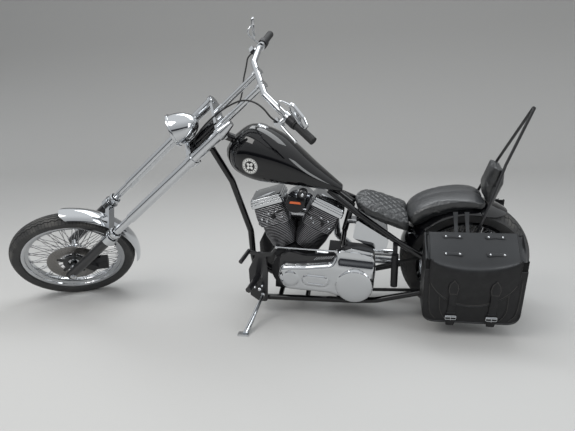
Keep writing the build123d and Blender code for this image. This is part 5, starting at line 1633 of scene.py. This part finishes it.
# %% Mirrors: teardrop heads on bent stalks
MIRRORS = (
    # middle of the head, along it, way it faces, stalk
    ((20, -360, 392), (0.54, -0.83, -0.05), (0.62, 0.45, 0.65),
     ((26, -296, 337), (-20, -294, 344), (-50, -298, 368), (-24, -322, 390), (0, -338, 392))),
    ((-44, 330, 372), (0.74, 0.32, -0.58), (0.65, -0.16, 0.74),
     ((26, 296, 337), (-40, 300, 334), (-62, 306, 346), (-64, 316, 372), (-58, 326, 382))),
)
mirror_outline = rounded(((-70, 0, 22), (-40, -24, 20), (30, -30, 22), (70, -14, 16),
                          (70, 14, 16), (30, 30, 22), (-40, 24, 20)), 6)
mirror_backs, mirror_faces = [], []
for middle, along, facing, stalk in MIRRORS:
    z_way = Vector(facing).normalized()
    x_way = (Vector(along) - z_way * Vector(along).dot(z_way)).normalized()
    y_way = z_way.cross(x_way)
    head_turn = Matrix((x_way, z_way, -y_way)).transposed().to_4x4()
    lay = Matrix.Translation(Vector(middle)) @ head_turn
    mirror_backs.append(shifted(plate(mirror_outline, 5, -9, 9, 5), lay))
    mirror_faces.append(shifted(plate(inset(mirror_outline, 3), 4, 6, 0.5, 1), lay))
    mirror_backs.append(tube(smooth_line(stalk, 6), 4.6, 10))
piece("mirror_backs", merged(*mirror_backs), FORK, "fork", CHROME, ["mirrors"])
piece("mirror_faces", merged(*mirror_faces), FORK, "fork", MIRROR_GLASS)

# %% [markdown]
# ## Headlight
# A chrome bullet with a beaded rim holds a bright bowl behind a clear lens. Shell and bowl
# are one turned profile: it runs from the tail over the bead and back down into the bowl.
# The lens is a second profile with two faces, because glass bends light only when it has
# a front and a back.

# %% Headlight shell and lens
LAMP_TURN = RAKE + radians(15)
lamp_way = Vector((-cos(LAMP_TURN), 0, -sin(LAMP_TURN)))
lamp_turn = lamp_way.to_track_quat("-Y", "Z").to_matrix().to_4x4()
lamp_place = FORK @ (moved(-135, 0, -185) @ lamp_turn)
shell = [(1, 128), (10, 127), (26, 120), (44, 104), (60, 80), (71, 54), (77, 28), (79, 6),
         (79, 2), (83, 1), (85, -3), (84, -9), (79, -12), (75, -11), (74, -7), (60, 20),
         (36, 40), (1, 46)]
glass = [(75, -6), (70, -12), (40, -17), (1, -19), (1, -16), (40, -14), (70, -9)]
piece("headlight_shell", turned(shell, 64), lamp_place, "fork", CHROME, ["headlight"])
piece("headlight_glass", turned(glass, 64), lamp_place, "fork", LENS, ["headlight_lens"])

# %% [markdown]
# ## Light
# Chrome shows only what is around it, so the room matters more than the lamps. A warm key
# softbox hangs high ahead on the camera's side, a long cool one over the far side, and a
# tall cool one stands behind the rear wheel. The world is bright above and dim at eye
# level, which gives chrome its dark band. A picture of a room could be used, but two soft
# steps in height are easier to tune. The camera sees plain pale grey in place of the room.


# %% Studio lamps
def softbox(name, spot, aim, size, power, colour):
    """A rectangular lamp that looks from a spot at its aim, in metres and watts."""
    data = bpy.data.lights.new(name, "AREA")
    data.shape, data.size, data.size_y = "RECTANGLE", size[0], size[1]
    data.energy, data.color = power, colour
    lamp = bpy.data.objects.new(name, data)
    bpy.context.collection.objects.link(lamp)
    lamp.location = spot
    lamp.rotation_euler = (Vector(aim) - Vector(spot)).to_track_quat("-Z", "Y").to_euler()
    print(name, "softbox of", power, "W")


WARM, COOL = (1, 0.985, 0.96), (0.95, 0.98, 1)
softbox("key", (-1.6, -1.9, 3.3), (-0.1, 0, 0.5), (2.6, 1.2), 46, WARM)
softbox("top", (0.5, 0.8, 3.5), (0.1, 0, 0.4), (3.6, 1.0), 40, COOL)
softbox("side", (3.2, -1.9, 1.6), (0.4, 0, 0.5), (0.7, 1.8), 16, COOL)

# %% [markdown]
# The world is built with the same small class as the surfaces. Its height runs from 0 at
# the horizon to 1 overhead, and two smooth rises turn it into a glow. What the camera
# itself sees is told apart by the kind of ray.

# %% The room around the motorcycle
DIM_ROOM, BRIGHT_ROOM = (0.04, 0.042, 0.048, 1), (0.96, 0.985, 1.0, 1)
SEEN_ROOM = (0.55, 0.55, 0.54, 1)
world = bpy.data.worlds.new("studio")
world.use_nodes = True
sky = world.node_tree
height = split(Value(sky, sky.nodes.new("ShaderNodeTexCoord").outputs["Generated"]))[2]
glow = height.smooth(0.02, 0.16) * 0.6 + height.smooth(0.2, 0.9) * 0.4
seen = Value(sky, sky.nodes.new("ShaderNodeLightPath").outputs["Is Camera Ray"])
room = seen.mixed(glow.mixed(DIM_ROOM, BRIGHT_ROOM), SEEN_ROOM)
sky.links.new(room.socket, sky.nodes["Background"].inputs["Color"])
sky.nodes["Background"].inputs["Strength"].default_value = 0.85
bpy.context.scene.world = world
bpy.context.scene.view_settings.view_transform = "Standard"
print("room of", len(sky.nodes), "nodes")

# %% [markdown]
# ## Floor
# The motorcycle stands on a pale sheet that sweeps up behind it like studio paper. A flat plane would end in a
# hard horizon.

# %% Floor that sweeps up behind
FLOOR_FROM, FLOOR_HALF = -9.0, 9.0
SWEEP_FROM, SWEEP_R, WALL_TOP = 5.4, 2.4, 8.0
floor_rows = [(FLOOR_FROM, 0.0), (SWEEP_FROM, 0.0)]
for angle in range(10, 91, 10):
    floor_rows.append((SWEEP_FROM + SWEEP_R * sin(radians(angle)),
                       SWEEP_R - SWEEP_R * cos(radians(angle))))
floor_rows.append((SWEEP_FROM + SWEEP_R, WALL_TOP))
floor_corners, floor_faces = skin([[(-FLOOR_HALF, y, z), (FLOOR_HALF, y, z)]
                                   for y, z in floor_rows], False, False)
floor_mesh = bpy.data.meshes.new("floor")
floor_mesh.from_pydata(floor_corners, [], floor_faces)
floor_mesh.shade_smooth()
floor_mesh.materials.append(material("pale floor", (0.56, 0.555, 0.545), 0.0, 0.8))
floor = bpy.data.objects.new("floor", floor_mesh)
bpy.context.collection.objects.link(floor)
print("floor with", len(floor_faces), "faces")
